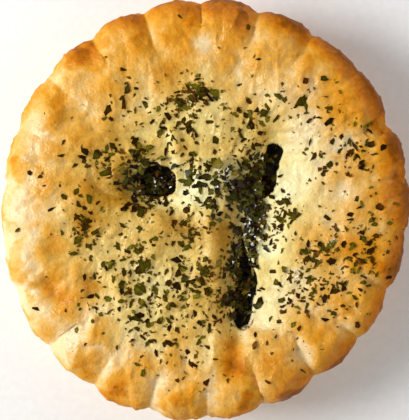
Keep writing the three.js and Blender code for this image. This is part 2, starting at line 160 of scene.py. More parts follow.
# %% Notches and folds
LOBES = 22
FIRST_NOTCH = np.radians(9)
NOTCH_IN = 1.4
LOBE_FULLNESS = 2.4
NOTCH_DEPTHS = np.array(
    [0.7, 1.5, 0.4, 1, 1.2, 1.2, 1.2, 1, 0.5, 0.5, 0.5, 0.5, 0.5, 0.9, 0.7, 1.1, 1, 1.1, 1.1, 0.8, 0.8, 0.6]
)
SHARP_CUT = dict(start=0.76, over=0.1)  # shares of the outline where a fold becomes a notch
FOLD = dict(deep=1.9, curl=40, wander=0.045, size=9, narrow=2.2)
FOLD_REACH = (-0.072, 0.048)
ON_RIM = dict(start=0.68, over=0.24)


def flat_points(x, y):
    """Points at height 0, for noise that doesn't depend on height."""
    return np.stack([x, y, np.zeros_like(x)], axis=-1)


def lobe_turns(angle):
    """How many lobes lie between the first notch and an angle."""
    return (angle - FIRST_NOTCH) / (2 * np.pi) * LOBES


def folds(angle, share):
    """How far the notches cut in, from 0 on a lobe to about 1, and how far they have opened as folds,
    from 0 on the lid to 1 on the rim. A notch is the distance from the lobe's crest to a power at the
    edge, and a wandering cosine valley further in."""
    edge = ramp(share, **SHARP_CUT)
    place = flat_points(share * RADIUS * np.cos(angle), share * RADIUS * np.sin(angle))
    wander = FOLD["wander"] * soft_noise(place, FOLD["size"], channel=33) * (1 - edge)
    turns = lobe_turns(angle + wander)
    cut = np.abs(2 * (turns - np.floor(turns)) - 1) ** LOBE_FULLNESS
    valley = (0.5 + 0.5 * np.cos(2 * np.pi * turns)) ** FOLD["narrow"]
    number = np.round(turns).astype(int) % LOBES
    opened = ramp(share + blend(*FOLD_REACH, draw(number, channel=63)), **ON_RIM)
    return blend(valley, cut, edge) * NOTCH_DEPTHS[number], opened


print("deepest notch:", folds(np.radians(np.arange(360)), 1.0)[0].max().round(2))

# %% Uneven lobes
LOBE_RISE = 0.5


def lobe_rise(angle):
    """How far a lobe stands above or below the others, fading to its notches as a half wave."""
    turns = lobe_turns(angle)
    highest = blend(-LOBE_RISE, LOBE_RISE, draw(np.floor(turns) % LOBES, channel=62))
    return highest * np.sin(np.pi * turns) ** 2


def fold_drop(angle, share):
    """How far the folds lower the rim, less what the lobe rises."""
    deep, opened = folds(angle, share)
    return FOLD["deep"] * deep * opened - ramp(share, **ON_RIM) * lobe_rise(angle)


crest_drop = fold_drop(np.radians(np.arange(360)), CREST["share"])
print("the crest is lowered by, mm:", crest_drop.min().round(2), "to", crest_drop.max().round(2))

# %% [markdown]
# ## Swells, dimples and ridges
#
# The lid bulges where pieces of filling push it up, and has dimples where it was pressed. Both are bell
# curves. Where the dough puckered it has ridges: each follows a curve, falls off steeply on one side
# and gently on the other, and runs out at both ends. All of these are listed, a row of numbers each.

# %% Swells and dimples
def rows(names, *values):
    """Things placed one by one, as a list of dicts: each row has one value for each name."""
    return [dict(zip(names.split(), row)) for row in values]


SWELLS = rows(
    "x y wide high",
    (2, 21, 9, 1.3), (-12, -7, 7, 1.3), (31, 12, 10, 0.9), (31, -13, 11, 0.9), (-14, -27, 10, 0.7),
    (1, -4.5, 4, 1.0), (20, -35, 8, 0.8), (22, 33, 8, 0.6), (-30, 15, 9, 0.6), (-19, 7, 3.5, -1.6),
)
DIMPLES = rows(
    "x y wide high",
    (-31, -4, 4, -1.0), (-39.5, -8.5, 4, -0.8), (-40.7, -20.3, 3.2, -1.1), (-37, -23, 2.6, -0.7),
    (-29, -20.2, 3, -0.9), (-40.7, -32.8, 3, -0.9), (-30.6, -42.6, 3.4, -1.0),
    (-22.4, -48.5, 3.4, -0.8), (-42.3, 30.9, 3.2, -0.4), (-36.5, 29.3, 2.6, -0.4),
    (-31.7, 42, 3.2, -0.8), (8.2, -35.5, 3, -0.9), (7.8, -41.5, 3, -1.1),
)


def bells(spots, x, y):
    """The sum of bell curves, each with its place, width and height."""
    return sum(s["high"] * np.exp(-((x - s["x"]) ** 2 + (y - s["y"]) ** 2) / s["wide"] ** 2) for s in spots)


print("swells:", len(SWELLS), "dimples:", len(DIMPLES))

# %% Curves
def spline(points, share):
    """A Catmull-Rom curve: it passes each point along the chord between that point's neighbours."""
    points = np.array(points, float)
    place = share * (len(points) - 1)
    i = np.minimum(np.floor(place).astype(int), len(points) - 2)
    t = (place - i)[:, None]
    before, start, end, after = (points[np.clip(i + k, 0, len(points) - 1)] for k in (-1, 0, 1, 2))
    leave, arrive = (end - before) / 2, (after - start) / 2
    cubic = (2 * (start - end) + leave + arrive) * t**3
    return cubic + (3 * (end - start) - 2 * leave - arrive) * t**2 + leave * t + start


def directions(line):
    """The way that a line runs at each of its points, with length 1."""
    along = np.gradient(line, axis=0)
    return along / np.linalg.norm(along, axis=1, keepdims=True)


def beside(line, x, y, radius=0):
    """How far points lie outside the nearest disc on a line, that disc's number, and the side: 1 to the
    left of the line's direction, -1 to the right."""
    along = directions(line)
    apart = np.stack([x, y], axis=-1)[..., None, :] - line
    away = np.linalg.norm(apart, axis=-1)
    number = (away - radius).argmin(axis=-1)[..., None]
    across = along[:, 0] * apart[..., 1] - along[:, 1] * apart[..., 0]
    side = np.take_along_axis(across / np.maximum(away, TINY), number, -1)
    return np.take_along_axis(away - radius, number, -1)[..., 0], number[..., 0], side[..., 0]


def sided_width(thing, side):
    """The width on one side of a line, from that on its right to that on its left."""
    return blend(thing["right"], thing["left"], smooth(0.5 + 0.5 * side))


print("halfway along a bent line:", spline([(0, 0), (9, 0), (9, 9)], np.array([0.5])).round(1))

# %% Ridges
RIDGES = rows(
    "high left right line",
    (1.5, 2.4, 1, [(-8.8, 21.5), (-7.5, 15.7), (-6.9, 9.5)]),
    (0.9, 3.4, 1.7, [(-20.5, 14.8), (-22.9, 9.9), (-25, 4)]),
    (1.4, 2.2, 3.4, [(-31, 1), (-25, 1.6), (-14.4, -1.3), (-7.7, -5.1), (-2, -10)]),
    (1.5, 4, 1.7, [(0.4, 0.5), (2.1, -6.9), (1.9, -12.2), (0.6, -19)]),
    (1.3, 4, 1.5, [(-23.8, -16.5), (-21.8, -22.9), (-21, -29)]),
    (1.3, 3.4, 1.4, [(-28, -27.5), (-29.8, -35)]),
    (0.9, 1.8, 5, [(-15.5, 45), (-11.2, 35.7), (-8.5, 30.4), (-5.5, 24.8)]),
    (1.3, 5, 1.8, [(12.4, -31), (11.4, -38), (9.4, -43.5)]),
)
LINE_STEPS = 60


def ridges(x, y):
    """The sum of ridges, each a bell across its line whose width depends on the side."""
    total = np.zeros(np.shape(x))
    for ridge in RIDGES:
        share = np.linspace(0, 1, LINE_STEPS)
        away, number, side = beside(spline(ridge["line"], share), x, y)
        fading = 1 - (2 * share[number] - 1) ** 4
        total += ridge["high"] * fading * np.exp(-((away / sided_width(ridge, side)) ** 2))
    return total


def lumps(x, y):
    """Swells, dimples and ridges together."""
    return bells(SWELLS, x, y) + bells(DIMPLES, x, y) + ridges(x, y)


print("lumps at the middle, mm:", lumps(np.zeros(1), np.zeros(1)).round(2))

# %% [markdown]
# ## Hollows and slits
#
# The lid was cut before baking, and the cuts gaped in the oven. It sags along them: one long, bent
# hollow that is wide and clean on its right and narrow on its left, where the herbs gathered, and one
# round hollow. Three slits are open at the bottom of these hollows. Each is a curve with a width that
# changes along it, and what counts for a point of the lid is how far it lies from the edge.

# %% Hollows, slits and walls
BENT = [(18.9, 17.4), (17.4, 9), (13.4, 1), (11.4, -8), (11.4, -18), (9.5, -30.8)]
VENT = [(-17, 7.3), (-12.3, 7.5), (-7.5, 7.7)]
UPPER_CUT = [(18.6, 17.5), (17.9, 12), (16.2, 3.4)]
LOWER_CUT = [(10.2, -7.8), (11.1, -15), (11.3, -21.5), (9.4, -31.6)]
HOLLOWS = [
    dict(line=BENT, half=2.4, full=5, point=0.5, widest=0.5, deep=2.6, left=10.5, right=6),
    dict(line=VENT, half=4, full=2, point=0.5, widest=0.5, deep=2.0, left=5.5, right=5.5),
]
SLITS = [
    dict(line=UPPER_CUT, half=2.4, full=2.2, point=0.6, widest=0.4),
    dict(line=LOWER_CUT, half=2.8, full=2.2, point=0.8, widest=0.64),
    dict(line=VENT, half=4.3, full=2.6, point=0.5, widest=0.5),
]
ALONG = (1 - np.cos(np.linspace(0, np.pi, LINE_STEPS))) / 2  # shares of the way along, closer at both ends
TEARS = {5: 0.5, 2.6: 0.5, 1.1: 0.3}  # size and depth of the tears in a slit's edge
SLIT_EDGE = dict(rounded=0.3, run=0.55)
FILLING_TOP = 20.4
PIT_BOTTOM = FILLING_TOP - 2.5


def slit_width(slit, share):
    """Half the width along a slit or hollow: a power of the way skews where it is widest, and it closes
    to ends that are round where the other power is a half and pointed where it is more."""
    skewed = share ** (np.log(0.5) / np.log(slit["widest"]))
    return slit["half"] * (1 - np.abs(2 * skewed - 1) ** slit["full"]) ** slit["point"]


def from_torn_edge(x, y):
    """How far points lie outside the nearest slit: the distance to its line, less its half width there,
    made ragged by noise."""
    gaps = []
    for slit in SLITS:
        away, number, _ = beside(spline(slit["line"], ALONG), x, y)
        gaps.append(away - slit_width(slit, ALONG)[number])
    return np.minimum.reduce(gaps) + layers(flat_points(x, y), TEARS, channel=31)


def hollow_depth(x, y):
    """How far the lid sags: fully inside a hollow, fading out over the width that it has on that side."""
    depth = np.zeros(np.shape(x))
    for hollow in HOLLOWS:
        away, _, side = beside(spline(hollow["line"], ALONG), x, y, slit_width(hollow, ALONG))
        depth = np.maximum(depth, hollow["deep"] * smooth(1 - away / sided_width(hollow, side)))
    return depth


print("half widths along the lower cut, mm:", slit_width(SLITS[1], ALONG)[::12].round(1))

# %% Height of the lid
def lid_height(x, y):
    """Section and lumps, less the hollows and the folds, then down a slit's torn wall into its pit."""
    share = np.minimum(share_at(x, y), CREST["share"])
    open_lid = lid_section(share) + lumps(x, y) - hollow_depth(x, y) - fold_drop(np.arctan2(y, x), share)
    fallen = smooth((SLIT_EDGE["rounded"] - from_torn_edge(x, y)) / SLIT_EDGE["run"])
    return blend(open_lid, PIT_BOTTOM, fallen)


print("lid height at the middle, mm:", lid_height(np.zeros(1), np.zeros(1)).round(2))

# %% [markdown]
# ## The crust as one closed surface
#
# A plain polar grid crowds its points in the middle. Here the lid's core is a square grid bent onto a
# disc, whose cells are all about as large, and its border carries on as rings over the rim, down the
# wall and across the base. That is one closed skin with no seam and a single pole, under the base.

# %% Core of the lid
CORE_STEPS = 200  # cells of 0.33 mm, and a border of 800 points
CORE_SHARE = 0.6


def disc_grid(steps):
    """A square grid on the unit disc: the larger coordinate becomes the distance from the middle, and
    the smaller one, as a share of it, the angle within that quarter."""
    side = np.linspace(-1, 1, steps + 1)
    u, v = np.meshgrid(side, side)
    sideways = np.abs(u) > np.abs(v)
    reach = np.where(sideways, u, v)
    other = np.where(sideways, v, u)
    lean = np.divide(other, reach, out=np.zeros_like(u), where=reach != 0) * np.pi / 4
    x = reach * np.where(sideways, np.cos(lean), np.sin(lean))
    y = reach * np.where(sideways, np.sin(lean), np.cos(lean))
    return x, y


def core_points():
    """The core, turned so that its border starts at a notch, stretched to the outline and raised."""
    x, y = disc_grid(CORE_STEPS)
    reach, angle = np.hypot(x, y), np.arctan2(y, x) + FIRST_NOTCH + np.pi / 4
    radius = reach * CORE_SHARE * outline(angle)
    x, y = radius * np.cos(angle), radius * np.sin(angle)
    return np.stack([x, y, lid_height(x, y)], axis=-1)


core = core_points()
print("points of the core:", core.shape[:2])

# %% Rings over the rim and under the base
AROUND = 4 * CORE_STEPS
RINGS = dict(slope=26, roll=26, wall=7, heel=4, base=2)
LUMPS_CURL = 60  # degrees of the roll over which the lumps flatten out


def ring_points():
    """Rings from the core's border outwards. Each has a share of the outline, a height, and how far its
    notches cut in and fold down."""
    angle = FIRST_NOTCH + 2 * np.pi * np.arange(AROUND) / AROUND
    rings = []

    def add_ring(share, z, flute, drop=0):
        radius = share * outline(angle) - flute * NOTCH_IN * folds(angle, share)[0]
        height = np.zeros(AROUND) + z - drop
        rings.append(np.stack([radius * np.cos(angle), radius * np.sin(angle), height], axis=-1))

    def place_at(share):
        return share * outline(angle) * np.cos(angle), share * outline(angle) * np.sin(angle)

    for share in np.linspace(CORE_SHARE, CREST["share"], RINGS["slope"] + 1)[1:]:
        add_ring(share, lid_height(*place_at(share)), RIM["flute"] * folds(angle, share)[1])
    for turn in np.linspace(90, RIM["tuck"], RINGS["roll"] + 1)[1:]:
        share = blend(CREST["share"], 1, np.cos(np.radians(turn)))
        tall = CREST["z"] - RIM["z"] if turn > 0 else RIM["under"]
        lumped = lumps(*place_at(share)) * smooth(turn / LUMPS_CURL)
        z = RIM["z"] + tall * np.sin(np.radians(turn)) + lumped
        add_ring(share, z, RIM["flute"], smooth(turn / FOLD["curl"]) * fold_drop(angle, share))
    tuck_share, tuck_z = share, z
    for down in np.linspace(0, 1, RINGS["wall"] + 1)[1:]:
        flute = blend(RIM["flute"], HEEL["flute"], down)
        add_ring(blend(tuck_share, HEEL["share"], down), blend(tuck_z, HEEL["z"], down), flute)
    for turn in np.linspace(np.pi / 2, 0, RINGS["heel"] + 1)[1:]:
        share = blend(BASE_SHARE, HEEL["share"], np.sin(turn))
        add_ring(share, HEEL["z"] * (1 - np.cos(turn)), HEEL["flute"] * np.sin(turn))
    for share in np.linspace(BASE_SHARE, 0, RINGS["base"] + 2)[1:-1]:
        add_ring(share, 0, 0)
    return np.array(rings)


rings = ring_points()
print("rings and points in each:", rings.shape[:2])

# %% [markdown]
# Points become faces by counting: each cell of the core is a quad, each pair of neighbouring rings is
# joined by a belt of quads, and the last ring closes on one point. The faces are wound so that their
# normals point outwards.

# %% Faces of the crust
def crust_faces(ring_count):
    """Quads of the core and of the belts, and triangles round the pole, as arrays of point numbers."""
    side = CORE_STEPS + 1
    number = np.arange(side * side).reshape(side, side)
    core = np.stack([number[:-1, :-1], number[:-1, 1:], number[1:, 1:], number[1:, :-1]], axis=-1)
    border = np.concatenate([number[:-1, -1], number[-1, :0:-1], number[:0:-1, 0], number[0, :-1]])
    loops = side * side + np.arange(ring_count * AROUND).reshape(ring_count, AROUND)
    loops = np.vstack([border, loops])
    after = np.roll(loops, -1, axis=1)
    belts = np.stack([loops[:-1], loops[1:], after[1:], after[:-1]], axis=-1)
    pole = np.full(AROUND, loops[-1, -1] + 1)
    fan = np.stack([loops[-1], pole, after[-1]], axis=-1)
    return np.vstack([core.reshape(-1, 4), belts.reshape(-1, 4)]), fan


def point_normals(points, quads):
    """The mean normal at each point: the cross product of a quad's diagonals, added up at its corners."""
    a, b, c, d = (points[quads[:, i]] for i in range(4))
    across = np.cross(c - a, d - b)
    total = np.zeros_like(points)
    for i in range(4):
        for axis in range(3):
            total[:, axis] += np.bincount(quads[:, i], across[:, axis], len(points))
    return total / np.maximum(np.linalg.norm(total, axis=1, keepdims=True), TINY)


crust_form = np.vstack([core.reshape(-1, 3), rings.reshape(-1, 3), [(0, 0, 0)]])
crust_quads, crust_fan = crust_faces(len(rings))
crust_normals = point_normals(crust_form, crust_quads)
print("crust points:", len(crust_form), "triangles:", 2 * len(crust_quads) + len(crust_fan))

# %% [markdown]
# ## Pastry skin
#
# Rolled pastry isn't smooth: it puckers over a few millimetres and blisters over one or two, and the
# egg wash on the rim dried to a fine crackle. This is real relief, so it moves the points instead of
# only tilting the shading. The outermost edge is calmer, and the base stays flat, because the pie
# stands on it.

# %% Puckers, creases, blisters and crackle
PUCKERS = {11: 0.6, 5: 0.6, 2.6: 0.4, 1.3: 0.23}  # size and height of each layer
CALM_EDGE = dict(start=0.88, over=0.08)
CALMED = 0.3  # what is left of the puckers there
CREASE = dict(size=8, by=-0.55, narrow=5)
WRINKLE = dict(size=5.5, by=0.4, narrow=7)
CRACKLE = dict(size=2.2, by=0.24, narrow=4)
BLISTER = dict(size=2.2, by=0.3)
RARE_BLISTER = dict(start=0.45, over=0.4)
ABOVE_BASE = dict(start=0.3, over=2)
RIM_BORDER = dict(start=0.5, over=0.36)
RIM_RAGGED = dict(size=6, by=0.08)


def rim_share(points, further_in=0):
    """0 on the lid and 1 on the rim and below, with a ragged border that may lie further in."""
    ragged = RIM_RAGGED["by"] * soft_noise(points, RIM_RAGGED["size"], channel=55)
    on_top = ramp(share_at(points[:, 0], points[:, 1]) + further_in + ragged, **RIM_BORDER)
    return np.where(points[:, 2] < RIM["z"], 1, on_top)


def lines(points, size, by, narrow, channel):
    """Narrow lines where a soft noise crosses 0: what it lacks to 1, to a power."""
    return by * (1 - np.abs(soft_noise(points, size, channel))) ** narrow


def pastry_relief(points):
    """How far the skin stands out: puckers of four sizes, creases and wrinkles along lines, rare
    blisters and, on the rim, a crackle of fine lines."""
    share = share_at(points[:, 0], points[:, 1])
    relief = layers(points, PUCKERS, channel=41) * blend(1, CALMED, ramp(share, **CALM_EDGE))
    relief += lines(points, **CREASE, channel=48) + lines(points, **WRINKLE, channel=49)
    relief += BLISTER["by"] * ramp(soft_noise(points, BLISTER["size"], channel=45), **RARE_BLISTER)
    relief += lines(points, **CRACKLE, channel=46) * rim_share(points)
    return relief * ramp(points[:, 2], **ABOVE_BASE)


print("relief at the middle, mm:", pastry_relief(np.array([(0, 0, MIDDLE["z"])])).round(2))

# %% Skin on the form
LEANING = dict(start=0.45, over=0.2)  # shares of the outline where it turns from upright


def skin_direction(points, normals):
    """Straight up on the lid, so that no skin folds over at a slit, and along the normals on the rim."""
    on_rim = ramp(share_at(points[:, 0], points[:, 1]), **LEANING)
    return blend(np.array((0, 0, 1)), normals, on_rim[:, None])


crust_relief = pastry_relief(crust_form)
crust_points = crust_form + skin_direction(crust_form, crust_normals) * crust_relief[:, None]
print("relief, mm:", crust_relief.min().round(2), "to", crust_relief.max().round(2))

# %% [markdown]
# ## Where the oven browned it, and painted shade
#
# Heat reaches what stands up and out: the lobes' outer shoulders turn orange-brown first, then crests,
# swells, ridges and the tops of puckers. Egg wash ran into the dimples and baked to orange there.
# Folds, banks and the pastry round the wet slits stay pale. One side of this pie stood in the hotter
# part of the oven; it is also the side away from the key light, so its browner outer edge is partly
# painted shade. Slopes are painted browner where they face away from the light and paler where they
# face it, as painted shade and light. All of that is added up into one number for each point, with
# browner and paler patches that are listed, some of which are painted shade and painted highlights.

# %% Patches, and the side that is hotter and shaded
# and the browner and paler sides of the notches at the top
# browner and paler patches: most are browning, and some are painted shade and painted highlights, such as
# the
# browner left inner slope, the pale bank right of the long slit, pale streaks on the ridge above the vent,
BROWNING_AND_PAINTED_LIGHT_SPOTS = rows(
    "x y wide high",
    (-27, 4, 9, 0.36), (-30, 16, 9, 0.14), (2, 32, 10, -0.04), (-11, 34, 4, 0.06), (-16, 49, 5, 0.2),
    (7.5, -40, 4.2, 0.2), (42, -29, 10, -0.24), (3, -20, 8, 0.16), (20, -20, 6, -0.14),
    (27, -26, 7, 0.06), (21, 6, 5, -0.2), (18, -9, 6, -0.2), (28, 20, 5.5, -0.2), (-3, 4, 6, -0.3),
    (5.5, 10, 4, -0.14), (-17, -22, 11, -0.14), (-44, -6, 10.5, -0.28), (-45, 16, 9, -0.14),
    (-46, -28, 12, -0.26), (33, 31, 10, -0.07), (-36, -17, 7, 0.12), (-40, 29, 10, -0.16),
    (-26, 36, 6, 0.08), (-10, 13, 5, 0.18), (-18, 12, 4, -0.12), (5, 21, 6, -0.12),
    (-2.5, -4.5, 5, 0.16), (-18.5, -11, 5, 0.12), (-9, -28, 6, 0.1), (-26, -37, 7, -0.14),
    (21, -40, 9, -0.18), (39, 2, 8, -0.08), (-17, 36, 5, -0.14), (14, 51, 6, 0.05), (37, 16, 8, -0.12),
    (30, 0, 8, -0.1), (20, 34, 8, -0.08), (-8.3, 18, 2.2, -0.2), (-7.2, 13, 2.2, -0.2),
    (-1, 45, 5, 0.06), (-4, 46, 3, 0.14), (0.3, 42.5, 2, -0.06), (-8.5, 36.5, 3, 0.14),
    (9.5, 38, 4, 0.1), (-42, 6, 3.5, 0.16), (-39, -9, 3.5, 0.16), (40, 26, 7, 0.04), (24, 42, 7, 0.06),
    (-22.4, -48.5, 3.4, -0.1),
)
HOT_AND_SHADED_SIDE = np.radians(20)  # the browner side: hotter in the oven, and also away from the key light, so it carries painted shade too
TOWARDS_HOT_AND_SHADED_SIDE = np.array((np.cos(HOT_AND_SHADED_SIDE), np.sin(HOT_AND_SHADED_SIDE), 0))
SIDELESS = 1  # a radius round the middle, inside which no side counts as hotter


def facing_heat_and_shade(points):
    """From -1 on the cool side of the pie to 1 on the hot side, which is also the side away from the key
    light and carries painted shade: a cosine, weaker at the middle.
    """
    return points @ TOWARDS_HOT_AND_SHADED_SIDE / np.maximum(np.hypot(points[:, 0], points[:, 1]), SIDELESS)


print("patches:", len(BROWNING_AND_PAINTED_LIGHT_SPOTS))

# %% Browning
MOTTLE = {9: 0.11, 4: 0.07, 1.8: 0.035}  # size and strength of each layer
POOL = dict(size=5.5, ragged=1.8, by=0.4)  # noise whose peaks are pools of egg wash
RARE_POOL = dict(start=0.25, over=0.25)
POOL_EDGE = dict(start=0.72, over=0.2)
BAKED_RIM = dict(start=0.5, over=0.4)
OUTERMOST = dict(start=0.8, over=0.18)
OUTERMOST_SHIFT = 0.05  # how much further out it starts on the hotter, shaded side
FACES_OUT = dict(start=0.1, over=0.7)
FACES_RIGHT_OUT = dict(start=0.75, over=0.2)
ABOVE_WALL = dict(start=12, over=10)
START_TONE = 0.4
# some of these causes paint shade and light into the browning: slopes facing away from the key light,
# the outer edge on that side, and some of the patches
BROWNED_AND_SHADED_BY = dict(
    rim=0.16, shoulder=0.14, lip=0.1, outermost=0.17, painted_shade_facing=0.18, pools=0.17, folds=-0.22, hollows=-0.06,
    spots=1, swells=0.06, dimples=-0.3, ridges=0.1, relief=0.12,
)


def browning_and_painted_shade(points, normals, relief):
    """From 0, raw, to 1, dark brown: a start and a mottle, and what each cause adds or takes away. Some
    causes are painted shade and light: slopes facing away from the key light, the outer edge on that side,
    and some patches.
    """
    x, y, z = points.T
    angle, share = np.arctan2(y, x), share_at(x, y)
    outward = normals[:, 0] * np.cos(angle) + normals[:, 1] * np.sin(angle)
    above_wall = ramp(z, **ABOVE_WALL)
    rim = ramp(share, **BAKED_RIM)
    heat_and_shade = facing_heat_and_shade(points)
    ragged = POOL["by"] * soft_noise(points, POOL["ragged"], channel=60)
    pools = ramp(soft_noise(points, POOL["size"], channel=56) + ragged, **RARE_POOL)
    causes = dict(
        rim=rim,
        shoulder=ramp(outward, **FACES_OUT) * above_wall,
        lip=ramp(outward, **FACES_RIGHT_OUT) * above_wall,
        # partly browning, partly painted shade: the outer band is browner away from the light and paler on
        # the lit side
        outermost=ramp(share - OUTERMOST_SHIFT * heat_and_shade, **OUTERMOST) * heat_and_shade,
        # painted shade and light: slopes that face away from the key light are painted browner, those
        # facing it paler
        painted_shade_facing=normals @ TOWARDS_HOT_AND_SHADED_SIDE,
        pools=ramp(share, **POOL_EDGE) * pools,
        folds=rim * folds(angle, share)[0],
        hollows=hollow_depth(x, y),
        # patches of browning, some of them painted shade and painted highlights
        spots=bells(BROWNING_AND_PAINTED_LIGHT_SPOTS, x, y),
        swells=bells(SWELLS, x, y),
        dimples=bells(DIMPLES, x, y),
        ridges=ridges(x, y),
        relief=relief,
    )
    brown = START_TONE + sum(BROWNED_AND_SHADED_BY[cause] * amount for cause, amount in causes.items())
    return np.clip(brown + layers(points, MOTTLE, channel=51), 0, 1)


crust_brown_and_shade = browning_and_painted_shade(crust_points, crust_normals, crust_relief)
print("browning:", crust_brown_and_shade.min().round(2), "to", crust_brown_and_shade.max().round(2))

# %% [markdown]
# Three more numbers go with it: how far a point belongs to the rim, which browns redder than the
# buttery lid and does so further in on the hotter side, how much gravy has soaked it, and how much of
# the egg wash still shines.

# %% Rim, soaking and egg wash
WARM_SIDE = 0.14  # how much further in the rim's colour starts on the hotter side
WET_PLACES = rows(
    "x y wide high",
    (10, 4.5, 5, 0.45), (12, -5, 4.5, 0.35), (-19.5, 6.6, 3.6, 0.4), (7.6, -20, 3.4, 0.25),
)
WET_RAGGED = dict(size=4, by=0.6)
SOAKED_ABOVE = PIT_BOTTOM - 1
WASH = {7: 1, 2.5: 0.5}  # size and strength of its patches
FACES_UP = dict(start=0.55, over=0.35)
WASH_LEFT = (1.4, -0.1)  # on raw pastry and on dark brown, cut off at 1 and 0


def soaking(points):
    """1 down in the slits and less in wet places, with ragged borders. Only the top is soaked."""
    x, y = points[:, 0], points[:, 1]
    slits = smooth(-from_torn_edge(x, y) / SLIT_EDGE["run"])
    ragged = 1 + WET_RAGGED["by"] * soft_noise(points, WET_RAGGED["size"], channel=57)
    wet = np.maximum(slits, bells(WET_PLACES, x, y) * ragged)
    return (points[:, 2] > SOAKED_ABOVE) * np.clip(wet, 0, 1)


def egg_wash(points, normals, brown):
    """From 0 to 1: patches on what faces up. The wash ran off the edge, and is dull where it browned."""
    patches = smooth(0.5 + layers(points, WASH, channel=58))
    return patches * ramp(normals[:, 2], **FACES_UP) * np.clip(blend(*WASH_LEFT, brown), 0, 1)


crust_numbers = dict(
    browning_and_painted_shade=crust_brown_and_shade,
    rim=rim_share(crust_points, WARM_SIDE * (0.5 + 0.5 * facing_heat_and_shade(crust_points))),
    soaking=soaking(crust_points),
    egg_wash=egg_wash(crust_points, crust_normals, crust_brown_and_shade),
)
print("means:", {label: values.mean().round(2) for label, values in crust_numbers.items()})

# %% [markdown]
# ## Meshes from arrays
#
# One function turns arrays into an object: points go in as metres, numbers or colours for each point
# become attributes that a material can read, and the object stays at the origin, as the CAD's nodes do.

# %% New piece
def add_object(name, data):
    """A new object in the scene, at the origin."""
    made = bpy.data.objects.new(name, data)
    bpy.context.scene.collection.objects.link(made)
    return made


def new_piece(name, points, faces, material, smoothed=True, **attributes):
    """A mesh object from points in millimetres and faces as arrays of point numbers."""
    mesh = bpy.data.meshes.new(name)
    mesh.from_pydata((points * MM).tolist(), [], [face for group in faces for face in group.tolist()])
    for label, values in attributes.items():
        kind, field = ("FLOAT", "value") if values.ndim == 1 else ("FLOAT_COLOR", "color")
        mesh.attributes.new(label, kind, "POINT").data.foreach_set(field, values.astype(np.float32).ravel())
    if smoothed:
        mesh.shade_smooth()
    else:
        mesh.shade_flat()
    mesh.materials.append(material)
    piece = add_object(name, mesh)
    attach(piece, "root")
    print(name, "has", len(mesh.vertices), "points and", len(mesh.polygons), "faces")
    return piece


# %% [markdown]
# ## Materials
#
# Colours are written as sRGB hex values, as they look, and turned to the linear light that the renderer
# counts in. One function adds a node, sets its values and links its sockets, and every material is
# built with it.

# %% Colour and node tools
def linear(hex_colour):
    """An sRGB hex colour as linear red, green and blue, and full alpha."""
    srgb = np.array([int(hex_colour[i:i + 2], 16) for i in (1, 3, 5)]) / 255
    light = np.where(srgb <= 0.04045, srgb / 12.92, ((srgb + 0.055) / 1.055) ** 2.4)
    return (*light.tolist(), 1.0)


def add_node(tree, kind, values=None, links=None, stops=None, output=0, **settings):
    """Adds a node with its settings, socket values, links from other sockets and, on a colour ramp, its
    stops. Returns one of its outputs, unless it has none."""
    made = tree.nodes.new("ShaderNode" + kind)
    for name, value in settings.items():
        setattr(made, name, value)
    for socket, value in (values or {}).items():
        made.inputs[socket].default_value = value
    for socket, source in (links or {}).items():
        tree.links.new(source, made.inputs[socket])
    if stops:
        made.color_ramp.elements.remove(made.color_ramp.elements[1])
    for number, (place, colour) in enumerate((stops or {}).items()):
        spot = made.color_ramp.elements.new(place) if number else made.color_ramp.elements[0]
        spot.position, spot.color = place, linear(colour)
    return made.outputs[output] if made.outputs else None


def new_material(name):
    """An empty material, its node tree, and the link that gives a texture its place on the piece."""
    material = bpy.data.materials.new(name)
    material.use_nodes = True
    tree = material.node_tree
    tree.nodes.clear()
    return material, tree, {"Vector": add_node(tree, "TexCoord", output="Object")}


print("mid grey in linear light:", round(linear("#808080")[0], 3))

# %% [markdown]
# ### Egg-washed shortcrust
#
# Shortcrust brushed with egg goes from butter yellow through gold to orange-brown as it bakes. What the
# eye sees is an uneven gloss with small bright glints, freckles where the wash blistered, and a little
# light that passes into the crumb. Browning, with the painted shade and light added into it, picks the
# colour from two ramps, one for the lid and one for the redder rim, after noise of 5 mm and 1 mm has
# made it uneven. Soaked pastry turns olive.

# %% Pastry
LID_TONES = {0.0: "#fdf4bc", 0.25: "#f0d98a", 0.5: "#dcb65c", 0.75: "#be8a26", 1.0: "#825000"}
RIM_TONES = {
    0.0: "#f5deac", 0.22: "#f3d59e", 0.4: "#edb65a", 0.55: "#e49e2a", 0.75: "#d07800", 1.0: "#8c4a00",
}
SOAKED_TONE = "#5e4a14"
MIXED_COLOUR = 2  # a Mix node's outputs are a number, a vector and a colour
UNEVEN = dict(mottle=0.16, freckle=0.26)  # how far each noise moves the browning, from end to end
CRUMB_DEPTH = (1.0, 0.5, 0.22)  # mm that red, green and blue light pass into the crumb


